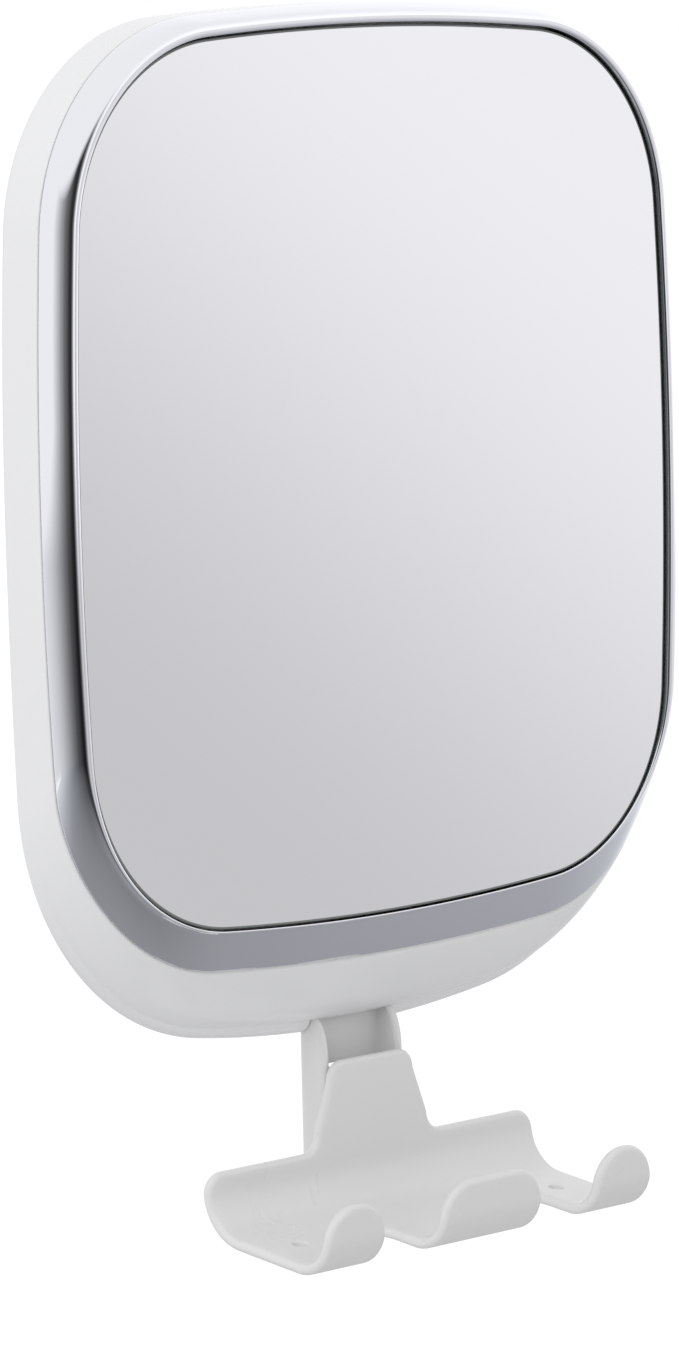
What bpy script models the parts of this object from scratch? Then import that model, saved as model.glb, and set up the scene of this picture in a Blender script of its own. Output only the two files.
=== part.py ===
"""Fogless shower mirror on a twist-lock suction mount, with a lift-off razor holder hung below the head.

Lengths are metres. +X is to the viewer's right, +Y runs into the wall and +Z is up. The origin is the centre of
the suction cup's wall face. The mount, the ball joint and the pane's centre share one line, from the origin
along -Y, and "out" below is the distance from the wall along that line.
"""

import math

import bmesh
import bpy
from mathutils import Vector

# Fits shared by every piece
GAP = 0.0003
OVERRUN = 0.002
THREAD_PLAY = 0.0003
WELD = 0.000003
SHARP_DEG = 30.0

# From the wall to the pane's face
PANE_OUT = 0.0632

# Suction cup and its moulded stud
CUP_RADIUS = 0.037
CUP_RIM = 0.0022
CUP_EDGE = 0.0008
CUP_CROWN = 0.0036
CUP_SEAT_MARGIN = 0.001
CUP_BOSS_RADIUS = 0.0125
CUP_BOSS_DRAFT = 0.0015
CUP_FLOOR = 0.0018
CUP_LIP = 0.0036
STUD_FLANGE_RADIUS = 0.009
STUD_FLANGE = 0.002
STUD_RADIUS = 0.006
STUD_WALL_UNDER_BORE = 0.0075

# Mount shell, washer and lock ring
SHELL_RADIUS = 0.0335
SHELL_SKIRT = 0.0035
SHELL_HEIGHT = 0.0103
SHELL_WALL = 0.0022
SHELL_FRONT_RADIUS = 0.020
SHELL_HUB_RADIUS = 0.0095
SHELL_HUB_DEPTH = 0.0015
WASHER_RADIUS = 0.015
WASHER_BORE_PLAY = 0.0008
WASHER = 0.0008
RING_RADIUS = 0.019
RING_DEPTH = 0.005
RING_LOBE = 0.0009
RING_CHAMFER = 0.0008
RING_LOBES = 8
UNLOCK_TRAVEL = 0.002

# Ball post and the ball joint's nested shells
SPIGOT_RADIUS = 0.0026
COLLAR_RADIUS = 0.0065
COLLAR = 0.0035
NECK_RADIUS = 0.0035
BALL_RADIUS = 0.008
LINER_WALL = 0.0013
BUSH_WALL = 0.0013
SOCKET_WALL = 0.0025
SOCKET_MOUTH_DEG = 45.0
SOCKET_FLANGE_RADIUS = 0.024
SOCKET_FLANGE = 0.0025
SOCKET_SPLIT = 0.0019
SOCKET_SCREW_CIRCLE = 0.0205
SOCKET_BOSS = 0.0048
BALL_SINK = 0.005

# Head: the pane's outline, then what surrounds it
PANE_HALF_WIDTH = 0.0852
PANE_HALF_HEIGHT = 0.089
PANE_CORNER = 0.039
SIDE_BOW = 0.820
END_BOW = 0.631
PANE_THICKNESS = 0.003
PANE_CHAMFER = 0.0003
TAPE_THICKNESS = 0.0008
TAPE_INSET = 0.006
TAPE_WIDTH = 0.012
DECK = 0.002
HEAD_DEPTH = 0.0172
HEAD_MARGIN = 0.0045
HEAD_WALL = 0.0024
BACK_ROUND = 0.002
COVER = 0.0022
BEZEL_DEPTH = 0.006
BEZEL_WALL = 0.002
BEZEL_PLAY = 0.0004
RIDGE_RISE = 0.0012
RIDGE_MARGIN = 0.0017
RIDGE_LIP = 0.0005
ROLL_DEPTH = 0.0056

# The head's underside: how far below the pane's lower edge it lies, at the lip, the shell's step, the bezel's
# back, the turn of the chin and its lowest line, how deep the bezel's back lies there, and the lowest line's arcs
FOOT_LIP = 0.0007
FOOT_SEAT = 0.005
FOOT_RISE = 0.0003
FOOT_AT_BEZEL = 0.0088
FOOT_BEZEL_DEPTH = 0.003
FOOT_AT_TURN = 0.0225
FOOT_LOWEST = 0.0253
CHIN_TURN_DEPTH = 0.013
CHIN_SIDE_BOW = 1.500
CHIN_END_BOW = 0.290
CHIN_CORNER = 0.055

# Screws
SCREW_RADIUS = 0.0014
SCREW_HEAD_RADIUS = 0.0027
SCREW_HEAD = 0.0016
SCREW_CROWN = 0.0005
SCREW_LENGTH = 0.008
BOSS_RADIUS = 0.0034
COVER_SCREW_SIDE_INSET = 0.0232
COVER_SCREW_UPPER_INSET = 0.023
COVER_SCREW_LOWER_INSET = 0.019

# Hanger bracket: a U-channel that leaves the head under the chin
BRACKET_HALF_WIDTH = 0.0118
BRACKET_WALL = 0.002
BRACKET_DEPTH = 0.0077
BRACKET_LENGTH = 0.034
BRACKET_TAB = 0.038
BRACKET_NECK_DEPTH = 0.004
BRACKET_SLOT_PLAY = 0.0006
BRACKET_SLOT_HEIGHT = 0.014
SHOULDER_SWEEP = 0.0067
SHOULDER_RISE = 0.009
SHOULDER_BELOW_CHIN = 0.0055
BRACKET_SCREW_X = 0.0046
BRACKET_SCREW_DROP = 0.0065

# Razor holder: back plate with a tongue, a trough and three fingers
HOLDER_WALL = 0.0022
TONGUE_CLEARANCE = 0.005
TONGUE_HEIGHT = 0.0177
TONGUE_HALF_WIDTH = 0.0123
TONGUE_FLARE = 0.0038
TONGUE_CORNER = 0.004
TONGUE_FILLET = 0.004
PLATE_HALF_WIDTH = 0.048
PLATE_CORNER = 0.0045
PLATE_STRAIGHT = 0.0031
HEEL_RADIUS = 0.0105
FLOOR_LENGTH = 0.0163
FLOOR_SLOPE_DEG = 9.0
TOE_RADIUS = 0.0068
FINGER_LENGTH = 0.0066
FINGER_LEAN_DEG = 5.0
FINGER_ROUND = 0.008
MIDDLE_FINGER_HALF_WIDTH = 0.0145
SLOT_WIDTH = 0.0168
SLOT_REACH = 0.013
DRAIN_RADIUS = 0.0016
DRAIN_X = 0.038
DRAIN_SHARE = 0.45
HOOK_HALF_WIDTH = 0.005
HOOK_HEIGHT = 0.005
HOOK_TIP = 0.0019
HOOK_DROP = 0.005
HOOK_BELOW_TONGUE = 0.0075
SLIDER_HEIGHT = 0.025
SLIDER_TOP = 0.0025
LIFT_TRAVEL = 0.0052

# Steps round arcs and turned pieces
TURN_STEPS = 28
SMALL_TURN_STEPS = 12
SIDE_STEPS = 3
CORNER_STEPS = 8
END_STEPS = 3
ARC_STEPS = 6
ROLL_STEPS = 4
BACK_ROUND_STEPS = 3

# Places along the mount's axis, out from the wall
stud_back = CUP_FLOOR + GAP
stud_shoulder = stud_back + STUD_FLANGE
cup_boss_front = stud_shoulder + GAP + CUP_LIP
shell_back = CUP_RIM + GAP
shell_front = shell_back + SHELL_HEIGHT
washer_back = shell_front + GAP
ring_back = washer_back + WASHER + GAP
ring_front = ring_back + RING_DEPTH
stud_front = ring_front + UNLOCK_TRAVEL
collar_back = stud_front + GAP
collar_front = collar_back + COLLAR
pane_front = PANE_OUT
head_back = pane_front - HEAD_DEPTH
ball_out = head_back - BALL_SINK
cover_front = head_back + COVER
pane_back = pane_front - PANE_THICKNESS
tape_front = pane_back - GAP
tape_back = tape_front - TAPE_THICKNESS
deck_front = tape_back - GAP
deck_back = deck_front - DECK
bezel_back = pane_front - BEZEL_DEPTH
round_start = head_back + BACK_ROUND
neck_front = head_back + BRACKET_NECK_DEPTH
seat_front = cover_front + GAP
liner_in = BALL_RADIUS + GAP
bush_in = liner_in + LINER_WALL + GAP
socket_in = bush_in + BUSH_WALL + GAP
socket_out = socket_in + SOCKET_WALL
socket_split = ball_out + SOCKET_SPLIT

# Heights, up from the pane's centre, and the bracket's and the holder's places out from the wall
chin_low = -(PANE_HALF_HEIGHT + FOOT_LOWEST)
bracket_front = head_back + BRACKET_DEPTH
channel_back = head_back + BRACKET_WALL
bracket_low = chin_low - BRACKET_LENGTH
bracket_high = chin_low + BRACKET_TAB
plate_back = bracket_front + GAP
plate_middle = plate_back + HOLDER_WALL / 2
tongue_high = chin_low - TONGUE_CLEARANCE
plate_high = tongue_high - TONGUE_HEIGHT
cover_foot = FOOT_AT_TURN - HEAD_WALL
channel_half_width = BRACKET_HALF_WIDTH - BRACKET_WALL
plate_neck_half_width = TONGUE_HALF_WIDTH + TONGUE_FLARE
hook_high = tongue_high - HOOK_BELOW_TONGUE
hook_low = hook_high - HOOK_HEIGHT


def clear_scene():
    for obj in list(bpy.data.objects):
        bpy.data.objects.remove(obj, do_unlink=True)


def material(name, colour, roughness, metallic=0.0):
    made = bpy.data.materials.new(name)
    made.use_nodes = True
    shader = made.node_tree.nodes["Principled BSDF"]
    shader.inputs["Base Color"].default_value = (*colour, 1.0)
    shader.inputs["Roughness"].default_value = roughness
    shader.inputs["Metallic"].default_value = metallic
    return made


def finish_mesh(name, shape, look):
    """Closes the bmesh into an object with its faces out, and shades its round faces smooth."""
    bmesh.ops.recalc_face_normals(shape, faces=shape.faces)
    mesh = bpy.data.meshes.new(name)
    shape.to_mesh(mesh)
    shape.free()
    mesh.shade_smooth()
    mesh.set_sharp_from_angle(angle=math.radians(SHARP_DEG))
    mesh.materials.append(look)
    obj = bpy.data.objects.new(name, mesh)
    bpy.context.scene.collection.objects.link(obj)
    return obj


def lofted(name, rings, look, closed_loop=False):
    """A skin over rings of equal count, capped at both ends, or joined end to start for a frame-like band."""
    shape = bmesh.new()
    rows = [[shape.verts.new(point) for point in ring] for ring in rings]
    pairs = list(zip(rows, rows[1:]))
    if closed_loop:
        pairs.append((rows[-1], rows[0]))
    else:
        shape.faces.new(rows[0])
        shape.faces.new(rows[-1])
    for first, second in pairs:
        for i in range(len(first)):
            j = (i + 1) % len(first)
            shape.faces.new((first[i], first[j], second[j], second[i]))
    return finish_mesh(name, shape, look)


def turned(name, profile, look, steps=TURN_STEPS):
    """A solid turned about the mount's axis from (radius, out) points, closed on the axis or on itself."""
    shape = bmesh.new()
    points = [shape.verts.new((radius, -out, 0.0)) for radius, out in profile]
    edges = [shape.edges.new(pair) for pair in zip(points, points[1:])]
    if profile[0][0] > 0.0:
        edges.append(shape.edges.new((points[-1], points[0])))
    bmesh.ops.spin(
        shape,
        geom=points + edges,
        cent=(0.0, 0.0, 0.0),
        axis=(0.0, 1.0, 0.0),
        angle=math.tau,
        steps=steps,
        use_merge=True,
    )
    bmesh.ops.remove_doubles(shape, verts=shape.verts, dist=WELD)
    return finish_mesh(name, shape, look)


def prism(name, outline, axis, low, high, look):
    """An outline of 2-D points, in the plane across the axis, drawn out along it from low to high."""
    places = {
        "X": lambda u, v, along: (along, u, v),
        "Y": lambda u, v, along: (u, along, v),
        "Z": lambda u, v, along: (u, v, along),
    }
    rings = [[places[axis](u, v, along) for u, v in outline] for along in (low, high)]
    return lofted(name, rings, look)


def rectangle(u_low, u_high, v_low, v_high):
    return [(u_low, v_low), (u_high, v_low), (u_high, v_high), (u_low, v_high)]


def arc(centre, radius, start_deg, end_deg, steps=ARC_STEPS):
    turn = (end_deg - start_deg) / steps
    angles = [math.radians(start_deg + turn * i) for i in range(steps + 1)]
    return [(centre[0] + radius * math.cos(a), centre[1] + radius * math.sin(a)) for a in angles]


def circle(centre, radius, steps=SMALL_TURN_STEPS):
    return arc(centre, radius, 0.0, 360.0, steps)[:-1]


def as_tool(obj):
    obj.hide_render = True
    obj.display_type = "WIRE"
    return obj


def combine(target, tool, operation):
    step = target.modifiers.new(tool.name, "BOOLEAN")
    step.operation = operation
    step.solver = "EXACT"
    step.object = as_tool(tool)


def cut(target, tool):
    combine(target, tool, "DIFFERENCE")


def join(target, tool):
    combine(target, tool, "UNION")


def joint_empty(name, place, parent=None):
    """An empty on a joint's axis, which carries the body that moves there."""
    empty = bpy.data.objects.new(name, None)
    empty.empty_display_size = BALL_RADIUS
    bpy.context.scene.collection.objects.link(empty)
    empty.location = Vector(place) - (parent.matrix_world.translation if parent else Vector())
    empty.parent = parent
    bpy.context.view_layer.update()
    return empty


def carry(empty, *pieces):
    for piece in pieces:
        piece.parent = empty
        piece.matrix_parent_inverse = empty.matrix_world.inverted()


def quadrant(half_width, half_height, side_bow, end_bow, corner):
    """Points from a side's middle round to an end's middle: two shallow arcs and the corner arc that touches
    both from inside, whose centre is where circles of the arcs' radii less the corner's cross."""
    side = Vector((half_width - side_bow, 0.0))
    end = Vector((0.0, half_height - end_bow))
    to_side = side_bow - corner
    to_end = end_bow - corner
    apart = (end - side).length
    along = (to_side**2 - to_end**2 + apart**2) / (2.0 * apart)
    across = math.sqrt(to_side**2 - along**2)
    unit = (end - side) / apart
    middle = side + unit * along + Vector((-unit.y, unit.x)) * across
    side_turn = math.degrees(math.atan2(middle.y - side.y, middle.x - side.x))
    end_turn = math.degrees(math.atan2(middle.y - end.y, middle.x - end.x))
    points = arc(side, side_bow, 0.0, side_turn, SIDE_STEPS)[:-1]
    points += arc(middle, corner, side_turn, end_turn, CORNER_STEPS)[:-1]
    points += arc(end, end_bow, end_turn, 90.0, END_STEPS)
    return points


def mix(first, second, share):
    return first + (second - first) * share


def head_ring(out, margin, foot=None, foot_out=None):
    """The pane's outline grown by a margin at its top and sides and by foot at its lower end. There it lies at
    foot_out, and below the bezel it takes the chin's larger arcs, by its share of the way to the lowest line.
    The lower corners ease from the one depth to the other."""
    foot = margin if foot is None else foot
    foot_out = out if foot_out is None else foot_out
    chin_share = max(0.0, (foot - FOOT_AT_BEZEL) / (FOOT_LOWEST - FOOT_AT_BEZEL))
    width = PANE_HALF_WIDTH + margin
    arcs = (SIDE_BOW + margin, END_BOW + margin, PANE_CORNER + margin)
    chin_arcs = (CHIN_SIDE_BOW, CHIN_END_BOW, CHIN_CORNER)
    foot_arcs = [mix(first, second, chin_share) for first, second in zip(arcs, chin_arcs)]
    upper = quadrant(width, PANE_HALF_HEIGHT + margin, *arcs)
    lower = quadrant(width, PANE_HALF_HEIGHT + foot, *foot_arcs)
    corner_end = SIDE_STEPS + CORNER_STEPS
    turns = [min(1.0, max(0.0, (i - SIDE_STEPS) / (corner_end - SIDE_STEPS))) for i in range(len(lower))]
    falls = [math.sin(math.radians(90.0 * turn)) for turn in turns]
    eased = [-mix(out, foot_out, fall * fall * (3.0 - 2.0 * fall)) for fall in falls]
    top = [(x, -out, z) for x, z in upper]
    feet = [(x, y, -z) for (x, z), y in zip(lower, eased)]
    ring = top[:-1]
    ring += [(-x, y, z) for x, y, z in top[:0:-1]]
    ring += [(-x, y, z) for x, y, z in feet[:-1]]
    ring += feet[:0:-1]
    return ring


def foot_slope(depth):
    """How steeply the underside falls at a depth behind the pane's face, before the chin's turn."""
    first = (FOOT_AT_BEZEL - FOOT_LIP) / FOOT_BEZEL_DEPTH
    last = (FOOT_AT_TURN - FOOT_AT_BEZEL) / (CHIN_TURN_DEPTH - FOOT_BEZEL_DEPTH)
    return first + (last - first) * (2.0 * depth - FOOT_BEZEL_DEPTH) / CHIN_TURN_DEPTH


def foot_at(depth):
    """The underside's fall: a parabola through its three named places, then a quarter of an ellipse."""
    if depth > CHIN_TURN_DEPTH:
        left = (HEAD_DEPTH - depth) / (HEAD_DEPTH - CHIN_TURN_DEPTH)
        return mix(FOOT_AT_TURN, FOOT_LOWEST, math.sin(math.acos(left)))
    return FOOT_LIP + max(depth, 0.0) * (foot_slope(0.0) + foot_slope(depth)) / 2.0


def foot_depth(depth):
    """How deep the underside lies below a wall that is this deep at the sides."""
    if depth > BEZEL_DEPTH:
        return mix(FOOT_BEZEL_DEPTH, HEAD_DEPTH, (depth - BEZEL_DEPTH) / (HEAD_DEPTH - BEZEL_DEPTH))
    return FOOT_BEZEL_DEPTH * depth / BEZEL_DEPTH


def wall_ring(out, margin):
    """The head's outside, at a place out at the sides and as deep as the underside is below them."""
    depth = foot_depth(pane_front - out)
    return head_ring(out, margin, foot_at(depth), pane_front - depth)


def foot_inside(depth, wall):
    """The fall of the wall's inside, which lies one wall away square to the slope."""
    return foot_at(depth) - wall * math.hypot(1.0, foot_slope(depth))


def sphere_arc(radius, start_deg, end_deg, steps=ARC_STEPS):
    """(radius, out) points on a sphere round the ball's centre; 0 degrees is its pole on the pane's side."""
    turn = (end_deg - start_deg) / steps
    angles = [math.radians(start_deg + turn * i) for i in range(steps + 1)]
    return [(radius * math.sin(a), ball_out + radius * math.cos(a)) for a in angles]


def on_axis(points):
    """The same profile with its two ends put exactly on the axis."""
    return [(0.0, points[0][1])] + points[1:-1] + [(0.0, points[-1][1])]


def screw(name, x, z, out, length, look):
    """A pan-head screw whose head bears on a face at out, on the wall's side of it."""
    seat = out - GAP
    head_top = seat - SCREW_HEAD
    profile = [
        (0.0, head_top),
        (SCREW_HEAD_RADIUS - SCREW_CROWN, head_top),
        (SCREW_HEAD_RADIUS, head_top + SCREW_CROWN),
        (SCREW_HEAD_RADIUS, seat),
        (SCREW_RADIUS, seat),
        (SCREW_RADIUS, seat + length - SCREW_RADIUS),
        (0.0, seat + length),
    ]
    made = turned(name, profile, look, SMALL_TURN_STEPS)
    made.location = (x, 0.0, z)
    return made


def screw_hole(target, x, z, low, high):
    tool = prism(
        f"hole_{target.name}_{x:.4f}_{z:.4f}",
        circle((x, z), SCREW_RADIUS + THREAD_PLAY),
        "Y",
        -high,
        -low,
        target.data.materials[0],
    )
    cut(target, tool)


def screw_boss(target, x, z, low, high):
    look = target.data.materials[0]
    name = f"boss_{target.name}_{x:.4f}_{z:.4f}"
    join(target, prism(name, circle((x, z), BOSS_RADIUS), "Y", -high, -low, look))


def cover_screw_places():
    side = PANE_HALF_WIDTH - COVER_SCREW_SIDE_INSET
    upper = PANE_HALF_HEIGHT - COVER_SCREW_UPPER_INSET
    lower = COVER_SCREW_LOWER_INSET - PANE_HALF_HEIGHT
    return [(x, z) for z in (upper, lower) for x in (-side, side)]


def socket_screw_places():
    angles = [math.radians(90.0 + 120.0 * i) for i in range(3)]
    return [(SOCKET_SCREW_CIRCLE * math.cos(a), SOCKET_SCREW_CIRCLE * math.sin(a)) for a in angles]


def bracket_screw_places():
    height = bracket_high - BRACKET_SCREW_DROP
    return [(-BRACKET_SCREW_X, height), (BRACKET_SCREW_X, height)]


# The wall mount


def suction_cup(look):
    seat_radius = SHELL_RADIUS - SHELL_WALL - CUP_SEAT_MARGIN
    pocket_radius = STUD_FLANGE_RADIUS + GAP
    pocket_front = stud_shoulder + GAP
    mouth_radius = STUD_RADIUS + GAP
    profile = [
        (0.0, 0.0),
        (CUP_RADIUS, 0.0),
        (CUP_RADIUS, CUP_RIM - CUP_EDGE),
        (CUP_RADIUS - CUP_EDGE, CUP_RIM),
        (seat_radius, CUP_RIM),
        (CUP_BOSS_RADIUS + CUP_BOSS_DRAFT, CUP_CROWN),
        (CUP_BOSS_RADIUS, cup_boss_front),
        (mouth_radius, cup_boss_front),
        (mouth_radius, pocket_front),
        (pocket_radius, pocket_front),
        (pocket_radius, CUP_FLOOR),
        (0.0, CUP_FLOOR),
    ]
    return turned("suction_cup", profile, look)


def cup_stud(look):
    bore = SPIGOT_RADIUS + THREAD_PLAY
    bore_back = stud_back + STUD_WALL_UNDER_BORE
    profile = [
        (0.0, stud_back),
        (STUD_FLANGE_RADIUS, stud_back),
        (STUD_FLANGE_RADIUS, stud_shoulder),
        (STUD_RADIUS, stud_shoulder),
        (STUD_RADIUS, stud_front),
        (bore, stud_front),
        (bore, bore_back),
        (0.0, bore_back),
    ]
    return turned("cup_stud", profile, look)


def ball_post(look):
    neck_deg = 180.0 - math.degrees(math.asin(NECK_RADIUS / BALL_RADIUS))
    spigot_back = stud_back + STUD_WALL_UNDER_BORE + GAP
    profile = [
        (0.0, spigot_back),
        (SPIGOT_RADIUS, spigot_back),
        (SPIGOT_RADIUS, collar_back),
        (COLLAR_RADIUS, collar_back),
        (COLLAR_RADIUS, collar_front),
        (NECK_RADIUS, collar_front),
    ]
    profile += sphere_arc(BALL_RADIUS, neck_deg, 0.0, 2 * ARC_STEPS)
    return turned("ball_post", on_axis(profile), look)


def mount_shell(look):
    bore = STUD_RADIUS + GAP
    inside_front = shell_front - SHELL_WALL
    inside_radius = SHELL_RADIUS - SHELL_WALL
    inside_slope = SHELL_FRONT_RADIUS - SHELL_WALL / 2
    skirt_front = shell_back + SHELL_SKIRT
    profile = [
        (bore, inside_front - SHELL_HUB_DEPTH),
        (SHELL_HUB_RADIUS, inside_front - SHELL_HUB_DEPTH),
        (SHELL_HUB_RADIUS, inside_front),
        (inside_slope, inside_front),
        (inside_radius, skirt_front),
        (inside_radius, shell_back),
        (SHELL_RADIUS, shell_back),
    ]
    slope_width = SHELL_RADIUS - SHELL_FRONT_RADIUS
    slope_height = shell_front - skirt_front
    for x, z in arc((0.0, 0.0), 1.0, 0.0, 90.0, ARC_STEPS):
        profile.append((SHELL_FRONT_RADIUS + slope_width * x, skirt_front + slope_height * z))
    profile.append((bore, shell_front))
    return turned("mount_shell", profile, look)


def thrust_washer(look):
    bore = STUD_RADIUS + WASHER_BORE_PLAY
    profile = [
        (bore, washer_back),
        (WASHER_RADIUS, washer_back),
        (WASHER_RADIUS, washer_back + WASHER),
        (bore, washer_back + WASHER),
    ]
    return turned("thrust_washer", profile, look)


def lock_ring(look):
    """A hand nut whose rim swells into grip lobes."""
    steps = RING_LOBES * SMALL_TURN_STEPS // 2
    angles = [math.tau * i / steps for i in range(steps)]

    def ring(radius, lobe, out):
        radii = [radius + lobe * math.cos(RING_LOBES * a) for a in angles]
        return [(r * math.cos(a), -out, r * math.sin(a)) for r, a in zip(radii, angles)]

    bore = STUD_RADIUS + THREAD_PLAY
    rings = [
        ring(bore, 0.0, ring_back),
        ring(RING_RADIUS, RING_LOBE, ring_back),
        ring(RING_RADIUS, RING_LOBE, ring_front - RING_CHAMFER),
        ring(RING_RADIUS - RING_CHAMFER, RING_LOBE, ring_front),
        ring(bore, 0.0, ring_front),
    ]
    return lofted("lock_ring", rings, look, closed_loop=True)


# The ball joint


def joint_shell(name, inside, wall, look):
    """A ball-shaped shell, closed towards the pane and open round the neck."""
    mouth = 180.0 - SOCKET_MOUTH_DEG
    profile = sphere_arc(inside, 0.0, mouth, 2 * ARC_STEPS)
    profile += sphere_arc(inside + wall, mouth, 0.0, 2 * ARC_STEPS)
    return turned(name, on_axis(profile), look)


def socket_base(look):
    """The socket's half on the pane's side, with the flange that lies on the rear cover."""
    flange_back = socket_split + GAP
    flange_front = head_back - GAP
    inside_deg = math.degrees(math.acos((flange_back - ball_out) / socket_in))
    outside_deg = math.degrees(math.acos((flange_front - ball_out) / socket_out))
    profile = sphere_arc(socket_in, 0.0, inside_deg)
    profile.append((SOCKET_FLANGE_RADIUS, flange_back))
    profile.append((SOCKET_FLANGE_RADIUS, flange_front))
    profile += sphere_arc(socket_out, outside_deg, 0.0)
    made = turned("socket_base", on_axis(profile), look)
    for x, z in socket_screw_places():
        screw_hole(made, x, z, flange_back - OVERRUN, flange_front + OVERRUN)
    return made


def socket_ring(look):
    """The socket's half on the wall's side, which keeps the ball in and stays open round the neck."""
    mouth = 180.0 - SOCKET_MOUTH_DEG
    flange_back = socket_split - SOCKET_FLANGE
    inside_deg = math.degrees(math.acos(SOCKET_SPLIT / socket_in))
    outside_deg = math.degrees(math.acos((flange_back - ball_out) / socket_out))
    profile = sphere_arc(socket_in, inside_deg, mouth)
    profile += sphere_arc(socket_out, mouth, outside_deg)
    profile.append((SOCKET_FLANGE_RADIUS, flange_back))
    profile.append((SOCKET_FLANGE_RADIUS, socket_split))
    made = turned("socket_ring", profile, look)
    for x, z in socket_screw_places():
        screw_hole(made, x, z, flange_back - OVERRUN, socket_split + OVERRUN)
    return made


# The head


def mirror_pane(look):
    rings = [
        head_ring(pane_back, 0.0),
        head_ring(pane_front - PANE_CHAMFER, 0.0),
        head_ring(pane_front, -PANE_CHAMFER),
    ]
    return lofted("mirror_pane", rings, look)


def pane_tape(look):
    outer = -TAPE_INSET
    inner = outer - TAPE_WIDTH
    rings = [
        head_ring(tape_back, outer),
        head_ring(tape_front, outer),
        head_ring(tape_front, inner),
        head_ring(tape_back, inner),
    ]
    return lofted("pane_tape", rings, look, closed_loop=True)


def chrome_bezel(look):
    """A lip beside the pane, a rounded ridge in front of it and a skirt back to the white shell. Below the pane
    the ridge dies away and the skirt slopes down and back."""
    lip_back = deck_front + GAP
    flank_out = pane_front + RIDGE_RISE / 2.0
    flank_foot = (BEZEL_PLAY + FOOT_LIP) / 2.0
    rings = [
        head_ring(lip_back, BEZEL_PLAY),
        head_ring(pane_front, BEZEL_PLAY),
        head_ring(flank_out, BEZEL_PLAY + RIDGE_LIP, flank_foot, pane_front + FOOT_RISE / 2.0),
    ]
    for forward, outward in arc((0.0, 0.0), 1.0, 0.0, 90.0, ROLL_STEPS):
        margin = mix(RIDGE_MARGIN, HEAD_MARGIN, outward)
        depth = mix(ROLL_DEPTH, -RIDGE_RISE, forward)
        below = mix(foot_depth(ROLL_DEPTH), -FOOT_RISE, forward)
        rings.append(head_ring(pane_front - depth, margin, foot_at(below), pane_front - below))
    rings.append(wall_ring(bezel_back, HEAD_MARGIN))
    inside = HEAD_MARGIN - BEZEL_WALL
    rings.append(head_ring(bezel_back, inside, FOOT_SEAT, lip_back))
    rings.append(head_ring(lip_back, inside, FOOT_SEAT - GAP))
    return lofted("chrome_bezel", rings, look, closed_loop=True)


def head_shell(look):
    """The white tray behind the pane: a deck under the tape, a step for the bezel and walls back to the cover."""
    step = HEAD_MARGIN - BEZEL_WALL - GAP
    inside = HEAD_MARGIN - HEAD_WALL
    outer_back = bezel_back - GAP
    inner_back = outer_back - HEAD_WALL
    wall_steps = 3
    rings = [
        head_ring(deck_back, step - HEAD_WALL, foot_inside(pane_front - deck_back, HEAD_WALL)),
        head_ring(inner_back, inside, foot_inside(pane_front - inner_back, HEAD_WALL)),
        head_ring(seat_front, inside, cover_foot + GAP),
        head_ring(head_back, inside, cover_foot + GAP),
    ]
    for outward, back in arc((0.0, 0.0), 1.0, 90.0, 0.0, BACK_ROUND_STEPS):
        margin = mix(HEAD_MARGIN - BACK_ROUND, HEAD_MARGIN, outward)
        rings.append(wall_ring(round_start - BACK_ROUND * back, margin))
    for i in range(1, wall_steps + 1):
        rings.append(wall_ring(mix(round_start, outer_back, i / wall_steps), HEAD_MARGIN))
    rings.append(head_ring(outer_back, step, FOOT_SEAT - GAP, deck_front))
    rings.append(head_ring(deck_front, step, FOOT_SEAT - GAP - GAP))
    made = lofted("head_shell", rings, look)
    slot_half_width = BRACKET_HALF_WIDTH + GAP
    slot = rectangle(-slot_half_width, slot_half_width, bracket_low, chin_low + BRACKET_SLOT_HEIGHT)
    slot_front = -(neck_front + BRACKET_SLOT_PLAY)
    cut(made, prism("slot_head_shell", slot, "Y", slot_front, OVERRUN - head_back, look))
    boss_front = deck_back + DECK / 2
    for x, z in cover_screw_places():
        screw_boss(made, x, z, seat_front, boss_front)
        screw_hole(made, x, z, seat_front - OVERRUN, deck_back - GAP)
    for x, z in bracket_screw_places():
        screw_boss(made, x, z, channel_back + GAP, boss_front)
        screw_hole(made, x, z, channel_back - OVERRUN, deck_back - GAP)
    return made


def rear_cover(look):
    margin = HEAD_MARGIN - HEAD_WALL - GAP
    rings = [head_ring(out, margin, cover_foot) for out in (head_back, cover_front)]
    made = lofted("rear_cover", rings, look)
    for x, z in socket_screw_places():
        screw_boss(made, x, z, head_back + COVER / 2, cover_front + SOCKET_BOSS)
    for x, z in socket_screw_places():
        screw_hole(made, x, z, head_back - OVERRUN, cover_front + SOCKET_BOSS - GAP)
    for x, z in cover_screw_places():
        screw_hole(made, x, z, head_back - OVERRUN, cover_front + OVERRUN)
    hole_radius = math.sqrt(socket_out**2 - BALL_SINK**2) + GAP
    hole = circle((0.0, 0.0), hole_radius, TURN_STEPS)
    back = OVERRUN - head_back
    front = -(cover_front + OVERRUN)
    cut(made, prism("hole_rear_cover", hole, "Y", front, back, look))
    notch_half_width = BRACKET_HALF_WIDTH + GAP
    notch = rectangle(-notch_half_width, notch_half_width, bracket_low, bracket_high + GAP)
    cut(made, prism("notch_rear_cover", notch, "Y", front, back, look))
    return made


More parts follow.
